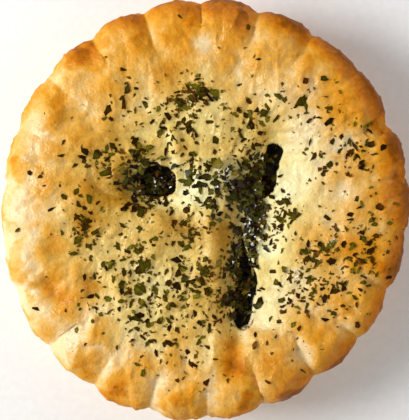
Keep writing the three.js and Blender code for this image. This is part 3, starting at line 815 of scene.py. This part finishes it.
def pastry_material():
    """Browning with its painted shade, and noise, give the colour, mottle the roughness, grain the bump,
    and egg wash the coat.
    """
    material, tree, in_place = new_material("egg_washed_shortcrust")
    tone, rim, soak, wash = (
        add_node(tree, "Attribute", output="Fac", attribute_name=label)
        for label in ("browning_and_painted_shade", "rim", "soaking", "egg_wash")
    )
    mottle = add_node(tree, "TexNoise", {"Scale": 1 / (5 * MM), "Detail": 3.0}, in_place)
    freckle = add_node(tree, "TexNoise", {"Scale": 1 / (1.1 * MM), "Detail": 2.0}, in_place)
    for noise, by in ((mottle, UNEVEN["mottle"]), (freckle, UNEVEN["freckle"])):
        moved = add_node(tree, "Math", {1: by, 2: -by / 2}, {0: noise}, operation="MULTIPLY_ADD")
        tone = add_node(tree, "Math", links={0: tone, 1: moved}, operation="ADD")
    lid_colour = add_node(tree, "ValToRGB", links={"Fac": tone}, stops=LID_TONES)
    rim_colour = add_node(tree, "ValToRGB", links={"Fac": tone}, stops=RIM_TONES)
    both = {"Factor": rim, "A": lid_colour, "B": rim_colour}
    baked = add_node(tree, "Mix", links=both, output=MIXED_COLOUR, data_type="RGBA")
    wet = {"Factor": soak, "A": baked}
    colour = add_node(tree, "Mix", {"B": linear(SOAKED_TONE)}, wet, output=MIXED_COLOUR, data_type="RGBA")
    gloss = add_node(tree, "MapRange", {"To Min": 0.3, "To Max": 0.55}, {"Value": mottle})
    grain = add_node(tree, "TexNoise", {"Scale": 1 / (0.7 * MM), "Detail": 3.0}, in_place)
    bump = add_node(tree, "Bump", {"Strength": 1.0, "Distance": 0.32 * MM}, {"Height": grain})
    shader = add_node(
        tree, "BsdfPrincipled",
        {"IOR": 1.45, "Specular IOR Level": 0.07, "Subsurface Weight": 0.1, "Subsurface Scale": MM,
         "Subsurface Radius": CRUMB_DEPTH, "Coat Roughness": 0.2, "Coat IOR": 1.5},
        {"Base Color": colour, "Roughness": gloss, "Coat Weight": wash, "Normal": bump,
         "Coat Normal": bump},
    )
    add_node(tree, "OutputMaterial", links={"Surface": shader})
    return material


pastry = pastry_material()
crust = new_piece("crust_pastry", crust_points, [crust_quads, crust_fan], pastry, **crust_numbers)
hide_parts("crust")

# %% [markdown]
# ## The filling
#
# Only a little of the filling can be seen: dark gravy and herbs at the bottom of the slits. It is still
# a whole body that fills the crust, as in the CAD, because it runs through the pie. In each slit a bed
# rises from it, which is a closed ring of points carried along the slit's curve: its upper side is
# lumpy, and its edges are inside the pastry walls.

# %% Body of the filling
GAP = 0.3
LID_THICK = 3.2
WALL_THICK = 4.2
BASE_THICK = 4
SHOULDER = 0.92
ROOM = dict(around=88, wall=6, lid=14, outermost=0.88, innermost=0.1)


def tube_faces(ring_count, around):
    """Belts of quads between rings, and triangles to the two end points that follow the rings."""
    loops = np.arange(ring_count * around).reshape(ring_count, around)
    after = np.roll(loops, -1, axis=1)
    belts = np.stack([loops[:-1], after[:-1], after[1:], loops[1:]], axis=-1).reshape(-1, 4)
    first, last = ring_count * around, ring_count * around + 1
    start = np.stack([np.full(around, first), after[0], loops[0]], axis=-1)
    finish = np.stack([loops[-1], after[-1], np.full(around, last)], axis=-1)
    return [belts, np.vstack([start, finish])]


def filling_body():
    """Rings up the room's wall and in under the lid, closed by a point below and one above."""
    angle = 2 * np.pi * np.arange(ROOM["around"]) / ROOM["around"]
    width = outline(angle) - WALL_THICK - NOTCH_IN
    up = np.linspace(0, 1, ROOM["wall"])[:, None]
    wall_radius = blend(HEEL["share"], SHOULDER, up) * width - GAP
    wall_z = np.broadcast_to(blend(BASE_THICK + GAP, RIM["z"] - LID_THICK, up), wall_radius.shape)
    lid_radius = np.linspace(ROOM["outermost"], ROOM["innermost"], ROOM["lid"])[:, None] * width - GAP
    radius = np.vstack([wall_radius, lid_radius])
    x, y = radius * np.cos(angle), radius * np.sin(angle)
    lid_x, lid_y = x[ROOM["wall"]:], y[ROOM["wall"]:]
    raised = lid_section(share_at(lid_x, lid_y)) + bells(SWELLS, lid_x, lid_y) - hollow_depth(lid_x, lid_y)
    z = np.vstack([wall_z, raised - LID_THICK - GAP])
    points = np.stack([x, y, z], axis=-1).reshape(-1, 3)
    ends = np.array([(0, 0, BASE_THICK + GAP), (0, 0, z[-1].mean())])
    return np.vstack([points, ends]), tube_faces(len(radius), ROOM["around"])


body = filling_body()
print("points of the filling's body:", len(body[0]))

# %% Beds in the slits
BED = dict(steps=150, across=26, under=8, margin=0.9, thick=3.4)
BED_SIZES = (2.6, 1.2, 0.6)
BED_LUMPS = {size: 0.75 * size / BED_SIZES[0] for size in BED_SIZES}  # height by size


def bed_height(x, y):
    """The wet surface in the slits: level, with lumps of three sizes."""
    return FILLING_TOP + layers(flat_points(x, y), BED_LUMPS, channel=71)


def slit_bed(slit):
    """A flat ring carried along the slit, across the top and back below, to a point at both ends."""
    share = np.linspace(0, 1, BED["steps"] + 2)
    line = spline(slit["line"], share)
    along = directions(line)
    aside = np.column_stack([-along[:, 1], along[:, 0]])
    swell = slit_width(slit, share) / slit["half"]
    width = swell * (slit["half"] + BED["margin"])
    over = np.linspace(1, -1, BED["across"])
    back = np.linspace(-1, 1, BED["under"])[1:-1]
    offset = np.concatenate([over, back])
    low = np.concatenate([np.zeros(BED["across"]), np.full(len(back), BED["thick"])])
    ring_xy = line[1:-1, None] + aside[1:-1, None] * (width[1:-1, None] * offset)[..., None]
    x, y = np.moveaxis(ring_xy, -1, 0)
    z = np.where(low == 0, bed_height(x, y), FILLING_TOP - low * swell[1:-1, None])
    points = np.concatenate([ring_xy, z[..., None]], axis=-1).reshape(-1, 3)
    ends = np.column_stack([line[[0, -1]], [FILLING_TOP, FILLING_TOP]])
    return np.vstack([points, ends]), tube_faces(BED["steps"], len(offset))


def joined(meshes):
    """Several (points, faces) as one, with the point numbers of each moved past those before it."""
    starts = np.cumsum([0] + [len(points) for points, _ in meshes])
    faces = [group + start for start, (_, groups) in zip(starts, meshes) for group in groups]
    return np.vstack([points for points, _ in meshes]), faces


filling_points, filling_faces = joined([body, *map(slit_bed, SLITS)])
print("points with the beds:", len(filling_points))

# %% [markdown]
# ### Herb gravy
#
# Gravy that boiled up through the slits is dark and wet, and its colour is made nearly black partly as
# painted shade for the depth of the slits: the eye sees small bright glints on lumps, and a green-brown
# only where light gets in. Its gloss comes from a low roughness.

# %% Gravy
# painted shade: darker than the gravy alone, to stand in for the shade at the bottom of the slits
GRAVY_AND_PAINTED_SHADE_TONES = {0.35: "#070501", 0.55: "#120e03", 0.75: "#2b250a"}


def gravy_material():
    """Dark olive brown, nearly black partly as painted shade for the slits' depth, mottled at 1.5 mm, wet.
    """
    material, tree, in_place = new_material("herb_gravy")
    mottle = add_node(tree, "TexNoise", {"Scale": 1 / (1.5 * MM), "Detail": 3.0}, in_place)
    colour = add_node(tree, "ValToRGB", links={"Fac": mottle}, stops=GRAVY_AND_PAINTED_SHADE_TONES)
    grain = add_node(tree, "TexNoise", {"Scale": 1 / (0.6 * MM), "Detail": 2.0}, in_place)
    bump = add_node(tree, "Bump", {"Strength": 0.5, "Distance": 0.2 * MM}, {"Height": grain})
    shader = add_node(
        tree, "BsdfPrincipled", {"IOR": 1.34, "Roughness": 0.14, "Specular IOR Level": 0.25},
        {"Base Color": colour, "Normal": bump},
    )
    add_node(tree, "OutputMaterial", links={"Surface": shader})
    return material


filling = new_piece("filling_gravy", filling_points, filling_faces, gravy_material())
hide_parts("filling")

# %% [markdown]
# ## Dried herbs
#
# Rubbed parsley and oregano are torn, angular scraps, 1 to 4 mm long, thin and a little curled. They
# fell in drifts, thick in some places and thin in others. Each drift has a place, a spread and a number
# of flakes, the largest first, from the same draws as the CAD's flakes, so that those lie where the
# solid has them.

# %% Drifts
DRIFTS = rows(
    "x y spread flakes",
    (-5, 27.5, 2.9, 52), (-2.5, 31, 2.4, 38), (7.5, 23.5, 3.8, 26), (15, 25, 4, 24), (30, 26, 4.5, 26),
    (45, 20, 5, 15), (-21, 28, 3.8, 15), (-11, 20.5, 3.4, 16), (-26, 13.5, 2.4, 20),
    (-18, 14.5, 2.8, 36), (-1, 12.5, 3.2, 26), (12.5, 13.5, 2.2, 24), (38.5, 14.2, 2.3, 20),
    (-31, 8, 6, 16), (-31.5, -6, 2.6, 36), (-17, 1, 3.2, 36), (-4, -4.5, 2.6, 32), (0.5, 2, 2.4, 18),
    (20, -1.5, 3.2, 40), (31, -11, 3, 34), (41, -11.5, 3.2, 44), (42, -2, 4, 14), (-18, -13, 3.2, 26),
    (-18, -22, 4, 50), (-6, -20, 3.4, 44), (0.5, -17, 2.4, 34), (-16, -30, 4.2, 26), (-4, -30, 5, 30),
    (5, -28, 2.6, 18), (-4, -38, 5, 20), (23, -20.5, 3.6, 30), (36, -22, 5, 20), (0, 0, 30, 60),
)


def of_each(heaps, value):
    """A heap's value, once for each of its flakes."""
    return np.repeat([heap[value] for heap in heaps], [heap["flakes"] for heap in heaps])


print("flakes in all drifts:", len(of_each(DRIFTS, "flakes")))

# %% Where their flakes fell
FLAKES_PER_DRIFT = 100
FLAKE_LONG = (1.2, 4.5)
FLAKE_FADE = 1.4
FLAKE_REACH = 0.9


def thrown(x, y, spread, index):
    """Places round a middle: a distance with a bell-shaped spread, in any direction."""
    away = spread * np.sqrt(-2 * np.log(1 - draw(index, channel=1)))
    way = 2 * np.pi * draw(index, channel=2)
    return x + away * np.cos(way), y + away * np.sin(way)


def in_heaps(heaps, first=0):
    """For each flake of all heaps: the number that its draws go by, its count in its heap, x and y."""
    number = np.repeat(np.arange(len(heaps)), [heap["flakes"] for heap in heaps])
    within = np.concatenate([np.arange(heap["flakes"]) for heap in heaps])
    index = first + number * FLAKES_PER_DRIFT + within
    middle = (of_each(heaps, value) for value in ("x", "y", "spread"))
    return index, within, *thrown(*middle, index)


def flake_columns(x, y, long, index):
    """Flakes as columns: place, length, the way it points, and the number that its draws go by."""
    return np.column_stack([x, y, long, np.pi * draw(index, channel=4), index])


def drift_flakes():
    """The flakes of all drifts: in each the first may be longest, and the last are shortest."""
    index, within, x, y = in_heaps(DRIFTS)
    size = (1 - within / of_each(DRIFTS, "flakes")) ** FLAKE_FADE * np.sqrt(draw(index, channel=3))
    return flake_columns(x, y, blend(*FLAKE_LONG, size), index)


strewn = drift_flakes()
strewn = strewn[share_at(strewn[:, 0], strewn[:, 1]) < FLAKE_REACH]
print("flakes strewn:", len(strewn))

# %% [markdown]
# The largest flakes, and those that lie alone far out, are placed one by one. Fine drifts fill what is
# thin, and between all of them lies dust of the same herbs, about a millimetre or less.

# %% Flakes placed one by one
LARGE_FLAKES = rows(
    "x y long turn",
    (25.8, 28.2, 5.6, 55), (15.7, 25.3, 5, 18), (-21.3, 36.5, 3.4, -5), (-21.6, 29, 3, 40),
    (1.6, 29, 3.8, -55), (-16.2, -15, 6, -70), (38.3, 14.9, 4.4, 65), (28.8, 13.8, 4, 60),
    (20.4, -24, 4.6, 10), (33, -9.6, 4.8, 35), (41.3, -13.6, 3.8, -30), (26, -11.4, 3.4, -40),
    (-3.7, -19.2, 3.8, 5),
)
OUTLYING_FLAKES = rows(
    "x y long turn",
    (-36.6, 17.6, 2.6, 60), (-37.1, 14, 3.2, 15), (-42.9, 8.5, 2.4, 10), (-33.3, 4.7, 2.8, 50),
    (-36.7, 3.3, 3, -50), (-40.1, 0, 3.2, 20), (-34.4, -11.8, 3.4, 3), (-48.9, -5.4, 2.4, 30),
    (-44.3, -26.1, 2.8, -10), (-37.8, -38.6, 2.2, -40), (16.7, -45.2, 2.8, -30), (31.7, -29, 3, -10),
    (40.3, -30.4, 2.8, 70), (31.7, 34.1, 3.4, -5), (21, 28.5, 2.6, 70), (11.6, 47.6, 2.2, 80),
    (-6.4, 50.4, 2.2, -40), (41.1, 11.5, 4, 88), (44.7, 14.3, 3, 20), (43.4, 20.4, 3, -50),
    (32.8, 11.5, 3.2, 30), (40.1, 2.8, 2.8, 60), (45.9, 0.6, 3, -60), (50, 1.5, 2.2, 45),
    (44.7, -4, 2.4, 20), (38.3, -2.7, 3, 10), (32.2, -2.2, 3, -35), (36.8, -19.5, 3, 50),
    (13.3, -35.5, 3, 60),
)
# Where the draws of each kind start
FIRST = dict(large=4000, wet_leaf=4100, outlying=4200, wet=7000, dust=10000, fine=13000)


def placed(flakes, first):
    """Flakes that are placed one by one, as columns, with numbers from the first on."""
    index = first + np.arange(len(flakes))
    return np.array([(f["x"], f["y"], f["long"], np.radians(f["turn"]), i) for f, i in zip(flakes, index)])


large, outlying = placed(LARGE_FLAKES, FIRST["large"]), placed(OUTLYING_FLAKES, FIRST["outlying"])
print("placed one by one:", len(large), "and", len(outlying))

# %% Fine drifts and dust
FINE_DRIFTS = rows(
    "x y spread flakes",
    (40, -5, 6, 14), (29, 12, 3.2, 20), (22, -32, 5, 18), (31, -20, 5.5, 45), (-20, -21, 6.5, 45),
    (-10, -31, 6, 30), (-33, 0, 5, 10), (18, -6, 3.5, 30), (-7, 17.5, 2.6, 16), (-5, -3.5, 4, 24),
    (-22, -15, 5, 16), (-29, -25, 3.5, 16), (27, -19, 5, 14),
)
FINE_LONG = (1, 3)
HEAP_FADE = 1.5  # more than 1 makes small flakes more frequent
DUST = dict(count=1100, beyond=1.3)
DUST_LONG = (0.4, 1.6)
DUST_FADE = 2
ON_PIE = 0.97


def heap_flakes(heaps, first, lengths):
    """The flakes of all heaps as columns, small ones more often than large ones."""
    index, _, x, y = in_heaps(heaps, first)
    return flake_columns(x, y, blend(*lengths, draw(index, channel=3) ** HEAP_FADE), index)


def dust():
    """Specks round the drifts, each drift taken as often as it has flakes."""
    index = FIRST["dust"] + np.arange(DUST["count"])
    x, y, spread = (of_each(DRIFTS, value) for value in ("x", "y", "spread"))
    pick = (draw(index, channel=6) * len(x)).astype(int)
    x, y = thrown(x[pick], y[pick], DUST["beyond"] * spread[pick], index)
    return flake_columns(x, y, blend(*DUST_LONG, draw(index, channel=3) ** DUST_FADE), index)


fine = heap_flakes(FINE_DRIFTS, FIRST["fine"], FINE_LONG)
dry_flakes = np.vstack([large, outlying, strewn, fine, dust()])
dry_flakes = dry_flakes[np.hypot(dry_flakes[:, 0], dry_flakes[:, 1]) < ON_PIE * RADIUS]
print("dry flakes and dust:", len(dry_flakes))

# %% [markdown]
# The slits and the wet place between them caught more flakes than the rest, and there they lie in
# soaked heaps, with some larger leaves on top.

# %% Soaked heaps
WET_DRIFTS = rows(
    "x y spread flakes pile",
    (-4, 9, 2.4, 16, 0.3), (1.5, 7.6, 2.8, 24, 0.3), (7, 7, 2.4, 24, 0.8), (11.4, 6, 2.4, 80, 1.2),
    (13.4, 0.6, 2.2, 80, 1.0), (12.6, 3.6, 2, 60, 1.4), (15.4, 6.6, 1.3, 34, 0.8),
    (-14.6, 11.4, 1.8, 20, 0.4), (-15, 3.4, 1.8, 20, 0.4), (12.4, -5.6, 2.2, 36, 0.8),
    (9.4, -10, 2.2, 34, 0.4), (8, -16, 1.5, 56, 0.5), (7.6, -23, 1.5, 50, 0.5),
    (11.2, -13, 1.4, 38, 1.2), (10.6, -20, 1.5, 44, 1.2), (10.2, -26.5, 1.5, 44, 1.3),
    (14.2, 9.8, 1.7, 60, 0.8), (-18.6, 7, 1.9, 30, 0.5), (-13.5, 7.2, 2.2, 60, 1.4),
    (6.4, -0.6, 2, 12, 0.4), (3.2, 3, 1.8, 16, 0.3),
)
WET_LONG = (1.6, 4.4)
WET_LEAVES = rows(
    "x y long turn",
    (-3.4, 9.8, 6.4, 35), (0.8, 8.6, 5, -15), (3.6, 11.8, 5, 10), (7.6, 4, 4.6, -40),
    (11.8, 2.4, 5.4, 60), (13.8, -3.4, 5, 80), (10.6, -11.4, 5.4, 75), (9.4, -18.4, 5, 95),
    (-14.6, 8.6, 5.2, 50), (-11.4, 6, 5, -30),
)
WET_LEAVES_PILE = 1.6

wet_leaves = placed(WET_LEAVES, FIRST["wet_leaf"])
soaked_flakes = np.vstack([wet_leaves, heap_flakes(WET_DRIFTS, FIRST["wet"], WET_LONG)])
soaked_pile = np.concatenate([np.full(len(wet_leaves), WET_LEAVES_PILE), of_each(WET_DRIFTS, "pile")])
print("soaked flakes:", len(soaked_flakes))

# %% [markdown]
# A flake is a plate with five corners and five points between them, pulled in or out, so that its edges
# look torn. It lies on the lid, tilted and curled a little, and it bridges what is steep below it. Each
# flake takes 40 triangles, and all flakes of one kind are one mesh.

# %% Torn outlines
FLAKE = dict(sides=5, askew=0.7, uneven=0.5)
FLAKE_WIDE = (0.32, 0.8)  # as a share of its length
CORNER_PULL = (-0.16, 0.1)
OUTLINE_POINTS = 2 * FLAKE["sides"]


def flake_outlines(flakes):
    """Ten points for each flake in its own frame, x along it: uneven corners, and one between each two."""
    long, index = flakes[:, 2:3], flakes[:, 4:5]
    i = np.arange(FLAKE["sides"])
    corner = 2 * np.pi * (i + FLAKE["askew"] * (draw(index, channel=15 + i) - 0.5)) / FLAKE["sides"]
    reach = long / 2 * (1 - FLAKE["uneven"] * draw(index, channel=10 + i))
    wide = blend(*FLAKE_WIDE, draw(index, channel=5))
    corners = np.stack([reach * np.cos(corner), wide * reach * np.sin(corner)], axis=-1)
    pulled = 1 + blend(*CORNER_PULL, draw(index, channel=20 + i))
    between = (corners + np.roll(corners, -1, axis=1)) / 2 * pulled[..., None]
    return np.stack([corners, between], axis=2).reshape(len(flakes), -1, 2)


print("outlines of the large flakes:", flake_outlines(large).shape)

# %% Laid on the lid
THICK = 0.16
CURL = (-0.3, 0.7)
STEEPEST = 0.45


def resting_height(x, y):
    """What a flake lies on: the lid and, past its crest, the roll of the rim, with its skin, or the
    filling where that is higher."""
    past_crest = np.clip((share_at(x, y) - CREST["share"]) / (1 - CREST["share"]), 0, 1)
    z = lid_height(x, y) - (CREST["z"] - RIM["z"]) * (1 - np.sqrt(1 - past_crest**2))
    points = np.stack([x, y, z], axis=-1)
    skin = pastry_relief(points.reshape(-1, 3)).reshape(z.shape)
    return np.maximum(z + skin, bed_height(x, y))


def flake_points(flakes, steep, pile=None, lean=0):
    """Eleven points above and eleven below for each flake: its outline and middle, laid on the lid,
    tilted and curled. A flake in a heap is raised by a part of the heap's height, another one until it
    clears the lid. A leaning one stands by itself, with its side towards +X raised by that slope."""
    own = flake_outlines(flakes)
    own = np.concatenate([own, np.zeros((len(flakes), 1, 2))], axis=1)
    middle_x, middle_y, long, turn, index = (flakes[:, i:i + 1] for i in range(5))
    x = middle_x + own[..., 0] * np.cos(turn) - own[..., 1] * np.sin(turn)
    y = middle_y + own[..., 0] * np.sin(turn) + own[..., 1] * np.cos(turn)
    middle = resting_height(middle_x, middle_y)
    away = STEEPEST * np.hypot(own[..., 0], own[..., 1])
    ground = middle if lean else np.clip(resting_height(x, y), middle - away, middle + away)
    tilt, roll = (blend(-steep, steep, draw(index, channel)) for channel in (7, 8))
    bend = blend(*CURL, draw(index, channel=9))
    lift = tilt * own[..., 0] + roll * own[..., 1] + bend * own[..., 1] ** 2 / long
    if pile is None:
        lift -= lift.min(axis=1, keepdims=True)
    else:
        lift += pile[:, None] * draw(index, channel=30) ** 2 + lean * (x - middle_x)
    top = np.stack([x, y, ground + lift + THICK / 2], axis=-1)
    return np.concatenate([top, top - (0, 0, THICK)], axis=1)


print("highest point of a large flake, mm:", flake_points(large, steep=0)[..., 2].max().round(1))

# %% Faces of the flakes
def flake_faces(count):
    """For each flake a fan above, a fan below and a belt of quads round the edge."""
    i = np.arange(OUTLINE_POINTS)
    after = (i + 1) % OUTLINE_POINTS
    middle = np.full(OUTLINE_POINTS, OUTLINE_POINTS)
    below = OUTLINE_POINTS + 1
    fans = np.vstack([np.stack([i, after, middle], -1), np.stack([after, i, middle], -1) + below])
    belt = np.stack([i + below, after + below, after, i], -1)
    starts = 2 * below * np.arange(count)[:, None, None]
    return [(fans + starts).reshape(-1, 3), (belt + starts).reshape(-1, 4)]


print("faces of one flake:", sum(map(len, flake_faces(1))))

# %% [markdown]
# ### Rubbed parsley and oregano
#
# Dried leaf is olive to dark brown-green and matt. A few flakes are yellow-green or rust-brown. Those
# that lie in the gravy are nearly black, and wet, so that here and there one that leans towards the
# light has a bright glint. Each flake draws its colour from a small palette, which is kept on the mesh,
# and fine noise gives it veins.

# %% Herb colours
DRY_PALETTE = {
    "#321d00": 0.24, "#482f00": 0.22, "#4a3f02": 0.2, "#595006": 0.15, "#726a12": 0.1, "#582d00": 0.06,
    "#7c4a14": 0.03,
}  # each colour's share of the flakes
SOAKED_PALETTE = {
    "#1c1000": 0.22, "#322100": 0.24, "#3a3706": 0.22, "#565416": 0.16, "#4c3006": 0.1, "#7a681c": 0.06,
}
# painted shade: a flake's edge is painted darker here and there and its middle lighter, as a curled leaf is
# lit
EDGE_PAINTED_SHADE = (0.4, 1.1)
MIDDLE_PAINTED_LIGHT = 1.25


def palette_colours(palette, pick):
    """The colour that each pick from 0 to 1 falls on, when each colour takes up its share."""
    edges = np.cumsum(list(palette.values()))
    colours = np.array([linear(colour) for colour in palette])
    return colours[np.minimum(np.searchsorted(edges, pick), len(palette) - 1)]


def flake_painted_shade(index):
    """How light each of a flake's points is, as painted shade and light of a curled leaf: its middle is
    lightest, its edge darker here and there.
    """
    corner = np.arange(OUTLINE_POINTS)
    edge = blend(*EDGE_PAINTED_SHADE, draw(index[:, None], channel=70 + corner))
    top = np.column_stack([edge, np.full(len(index), MIDDLE_PAINTED_LIGHT)])
    return np.hstack([top, top])


print("colours of dry and of soaked flakes:", len(DRY_PALETTE), "and", len(SOAKED_PALETTE))

# %% Dry and soaked herbs
THIN = dict(until=2.4, over=1.8, tone="#8a6c2c")
THICK_LEAF = dict(start=2.3, over=1.5)


def herb_material(name, roughness, specular, veined):
    """The flake's own colour, with veins of 0.5 mm that stand out by a share."""
    material, tree, in_place = new_material(name)
    own = add_node(tree, "Attribute", output="Color", attribute_name="flake_colour")
    vein = add_node(tree, "TexNoise", {"Scale": 1 / (0.5 * MM), "Detail": 2.0}, in_place)
    shade = add_node(tree, "MapRange", {"To Min": 0.55, "To Max": 1.45}, {"Value": vein})
    colour = add_node(tree, "VectorMath", links={0: own, 1: shade}, operation="MULTIPLY")
    bump = add_node(tree, "Bump", {"Strength": veined, "Distance": 0.2 * MM}, {"Height": vein})
    shader = add_node(
        tree, "BsdfPrincipled", {"IOR": 1.45, "Specular IOR Level": specular, "Roughness": roughness},
        {"Base Color": colour, "Normal": bump},
    )
    add_node(tree, "OutputMaterial", links={"Surface": shader})
    return material


def herb_piece(name, flakes, points, palette, material, through=0, dark=1):
    """All flakes of one kind as one flat-shaded mesh. Pastry shows through the smallest by a share, and
    the largest, which are thick, are darker by a factor."""
    long, index = flakes[:, 2:3], flakes[:, 4]
    thin = through * smooth((THIN["until"] - long) / THIN["over"])
    own = blend(palette_colours(palette, draw(index, channel=40)), linear(THIN["tone"]), thin)
    own = own * blend(1, dark, ramp(long, **THICK_LEAF))
    colour = own[:, None, :] * flake_painted_shade(index)[..., None]
    faces = flake_faces(len(flakes))
    piece = new_piece(name, points.reshape(-1, 3), faces, material, smoothed=False, flake_colour=colour)


dry_leaf = herb_material("rubbed_dried_herbs", roughness=0.55, specular=0.04, veined=0.6)
wet_leaf = herb_material("gravy_soaked_herbs", roughness=0.15, specular=0.14, veined=0.6)
dry_points = flake_points(dry_flakes, steep=0.2)
soaked_points = flake_points(soaked_flakes, steep=0.5, pile=soaked_pile)
herb_piece("herb_flakes", dry_flakes, dry_points, DRY_PALETTE, dry_leaf, through=0.5, dark=0.7)
herb_piece("soaked_herbs", soaked_flakes, soaked_points, SOAKED_PALETTE, wet_leaf)

# %% [markdown]
# What gives the wet heaps their sparkle is leaf that stands out of the gravy with a film of fat on it.
# These pieces lean to the left, where the light comes from, some more and some less, and the few that
# lean just right mirror it.

# %% Glistening leaf
LEAF_HEAPS = rows(
    "x y spread flakes pile",
    (6, 9.6, 1.5, 16, 0.8), (4.4, 6.6, 1.8, 16, 0.8), (10.5, 5.5, 2, 10, 1.6), (13.6, 0, 1.8, 14, 1.8),
    (12.8, -5, 2.2, 24, 1.8), (10.8, -14, 1.6, 10, 1.4), (10.8, -24, 1.8, 10, 1.4),
    (17.4, 12, 1.2, 8, 1.4), (-12.4, 7.5, 1.8, 14, 1.6), (34, -9, 1, 5, 0.3), (23, -17, 1.4, 6, 0.3),
)
PAST_SOAKED = 2500  # moves the draws of their form past those of the soaked flakes
LEAF_LEAN = 0.46
LEAF_SIZE = 0.5  # against a soaked flake

leaves = heap_flakes(LEAF_HEAPS, FIRST["wet"], WET_LONG)
leaves[:, 2] *= LEAF_SIZE
leaves[:, 4] += PAST_SOAKED
leaf_points = flake_points(leaves, steep=0.2, pile=of_each(LEAF_HEAPS, "pile"), lean=LEAF_LEAN)
filmed_leaf = herb_material("leaf_filmed_with_fat", roughness=0.08, specular=0.9, veined=0.25)
herb_piece("glistening_leaf", leaves, leaf_points, SOAKED_PALETTE, filmed_leaf)

# %% [markdown]
# ## Floor, light and camera
#
# The pie stands on a plain, nearly white floor. A large soft light from the left shows the relief. A
# weak one from the upper right and a pale sky, dimmer overhead, fill the shadows. The camera looks
# straight down, from as far as a long lens needs to fill the frame.

# %% Floor
FLOOR_SIDE = 3.0
PAPER_TONES = {0.3: "#f6f6f5", 0.7: "#fbfbfa"}


def floor_material():
    """Matt white paper with a faint mottle of 2 mm, coarser than its fibres are, so that it shows."""
    material, tree, in_place = new_material("matt_white_paper")
    fibre = add_node(tree, "TexNoise", {"Scale": 1 / (2 * MM), "Detail": 2.0}, in_place)
    colour = add_node(tree, "ValToRGB", links={"Fac": fibre}, stops=PAPER_TONES)
    matt = {"Roughness": 0.9, "Specular IOR Level": 0.2}
    shader = add_node(tree, "BsdfPrincipled", matt, {"Base Color": colour})
    add_node(tree, "OutputMaterial", links={"Surface": shader})
    return material


def make_floor():
    """A square sheet under the pie."""
    half = FLOOR_SIDE / 2
    mesh = bpy.data.meshes.new("floor")
    corners = [(-half, -half, 0), (half, -half, 0), (half, half, 0), (-half, half, 0)]
    mesh.from_pydata(corners, [], [(0, 1, 2, 3)])
    mesh.materials.append(floor_material())
    floor = add_object("floor", mesh)


make_floor()
print("floor side, m:", FLOOR_SIDE)

# %% Light
KEY = dict(place=(-0.53, 0.05, 0.44), side=0.3, watts=4.3)  # metres
FILL = dict(place=(0.46, 0.3, 0.3), side=0.5, watts=0.75)
LIT = (0, 0, 0.02)  # where both point
SKY = dict(colour="#ffffff", around=0.58, overhead=0.08, low=0.5)


def make_softbox(name, place, side, watts):
    """A square light whose own -Z points at the pie."""
    lamp = bpy.data.lights.new(name, "AREA")
    lamp.size, lamp.energy = side, watts
    softbox = add_object(name, lamp)
    softbox.location = place
    softbox.rotation_euler = (Vector(LIT) - Vector(place)).to_track_quat("-Z", "Y").to_euler()


def make_sky():
    """A pale surround that gets dimmer from its low part up to straight overhead."""
    world = bpy.data.worlds.new("sky")
    world.use_nodes = True
    tree = world.node_tree
    tree.nodes.clear()
    way = add_node(tree, "TexCoord", output="Generated")
    up = add_node(tree, "SeparateXYZ", links={0: way}, output="Z")
    heights = {"From Min": SKY["low"], "From Max": 1.0, "To Min": SKY["around"], "To Max": SKY["overhead"]}
    dimmed = add_node(tree, "MapRange", heights, {"Value": up})
    sky = add_node(tree, "Background", {"Color": linear(SKY["colour"])}, {"Strength": dimmed})
    add_node(tree, "OutputWorld", links={"Surface": sky})
    bpy.context.scene.world = world


make_softbox("key", **KEY)
make_softbox("fill", **FILL)
make_sky()
print("watts of the lights:", KEY["watts"], "and", FILL["watts"])

# %% Camera
FRAME_PIXELS = (409, 420)
PIXEL = 0.2663  # mm that it covers at the pie's widest line
LENS = 135.0
SENSOR = 36.0
AIMED_AT = (0.13, -0.27)


def make_camera():
    """Straight above the pie: the distance follows from the frame's height, the lens and the sensor."""
    camera_data = bpy.data.cameras.new("overhead")
    camera_data.lens, camera_data.sensor_width = LENS, SENSOR
    distance = max(FRAME_PIXELS) * PIXEL * LENS / SENSOR
    camera = add_object("overhead", camera_data)
    camera.location = np.array((*AIMED_AT, RIM["z"] + distance)) * MM
    bpy.context.scene.camera = camera
    print("camera above the rim, mm:", round(distance))


make_camera()
bpy.context.scene.view_settings.view_transform = "Standard"
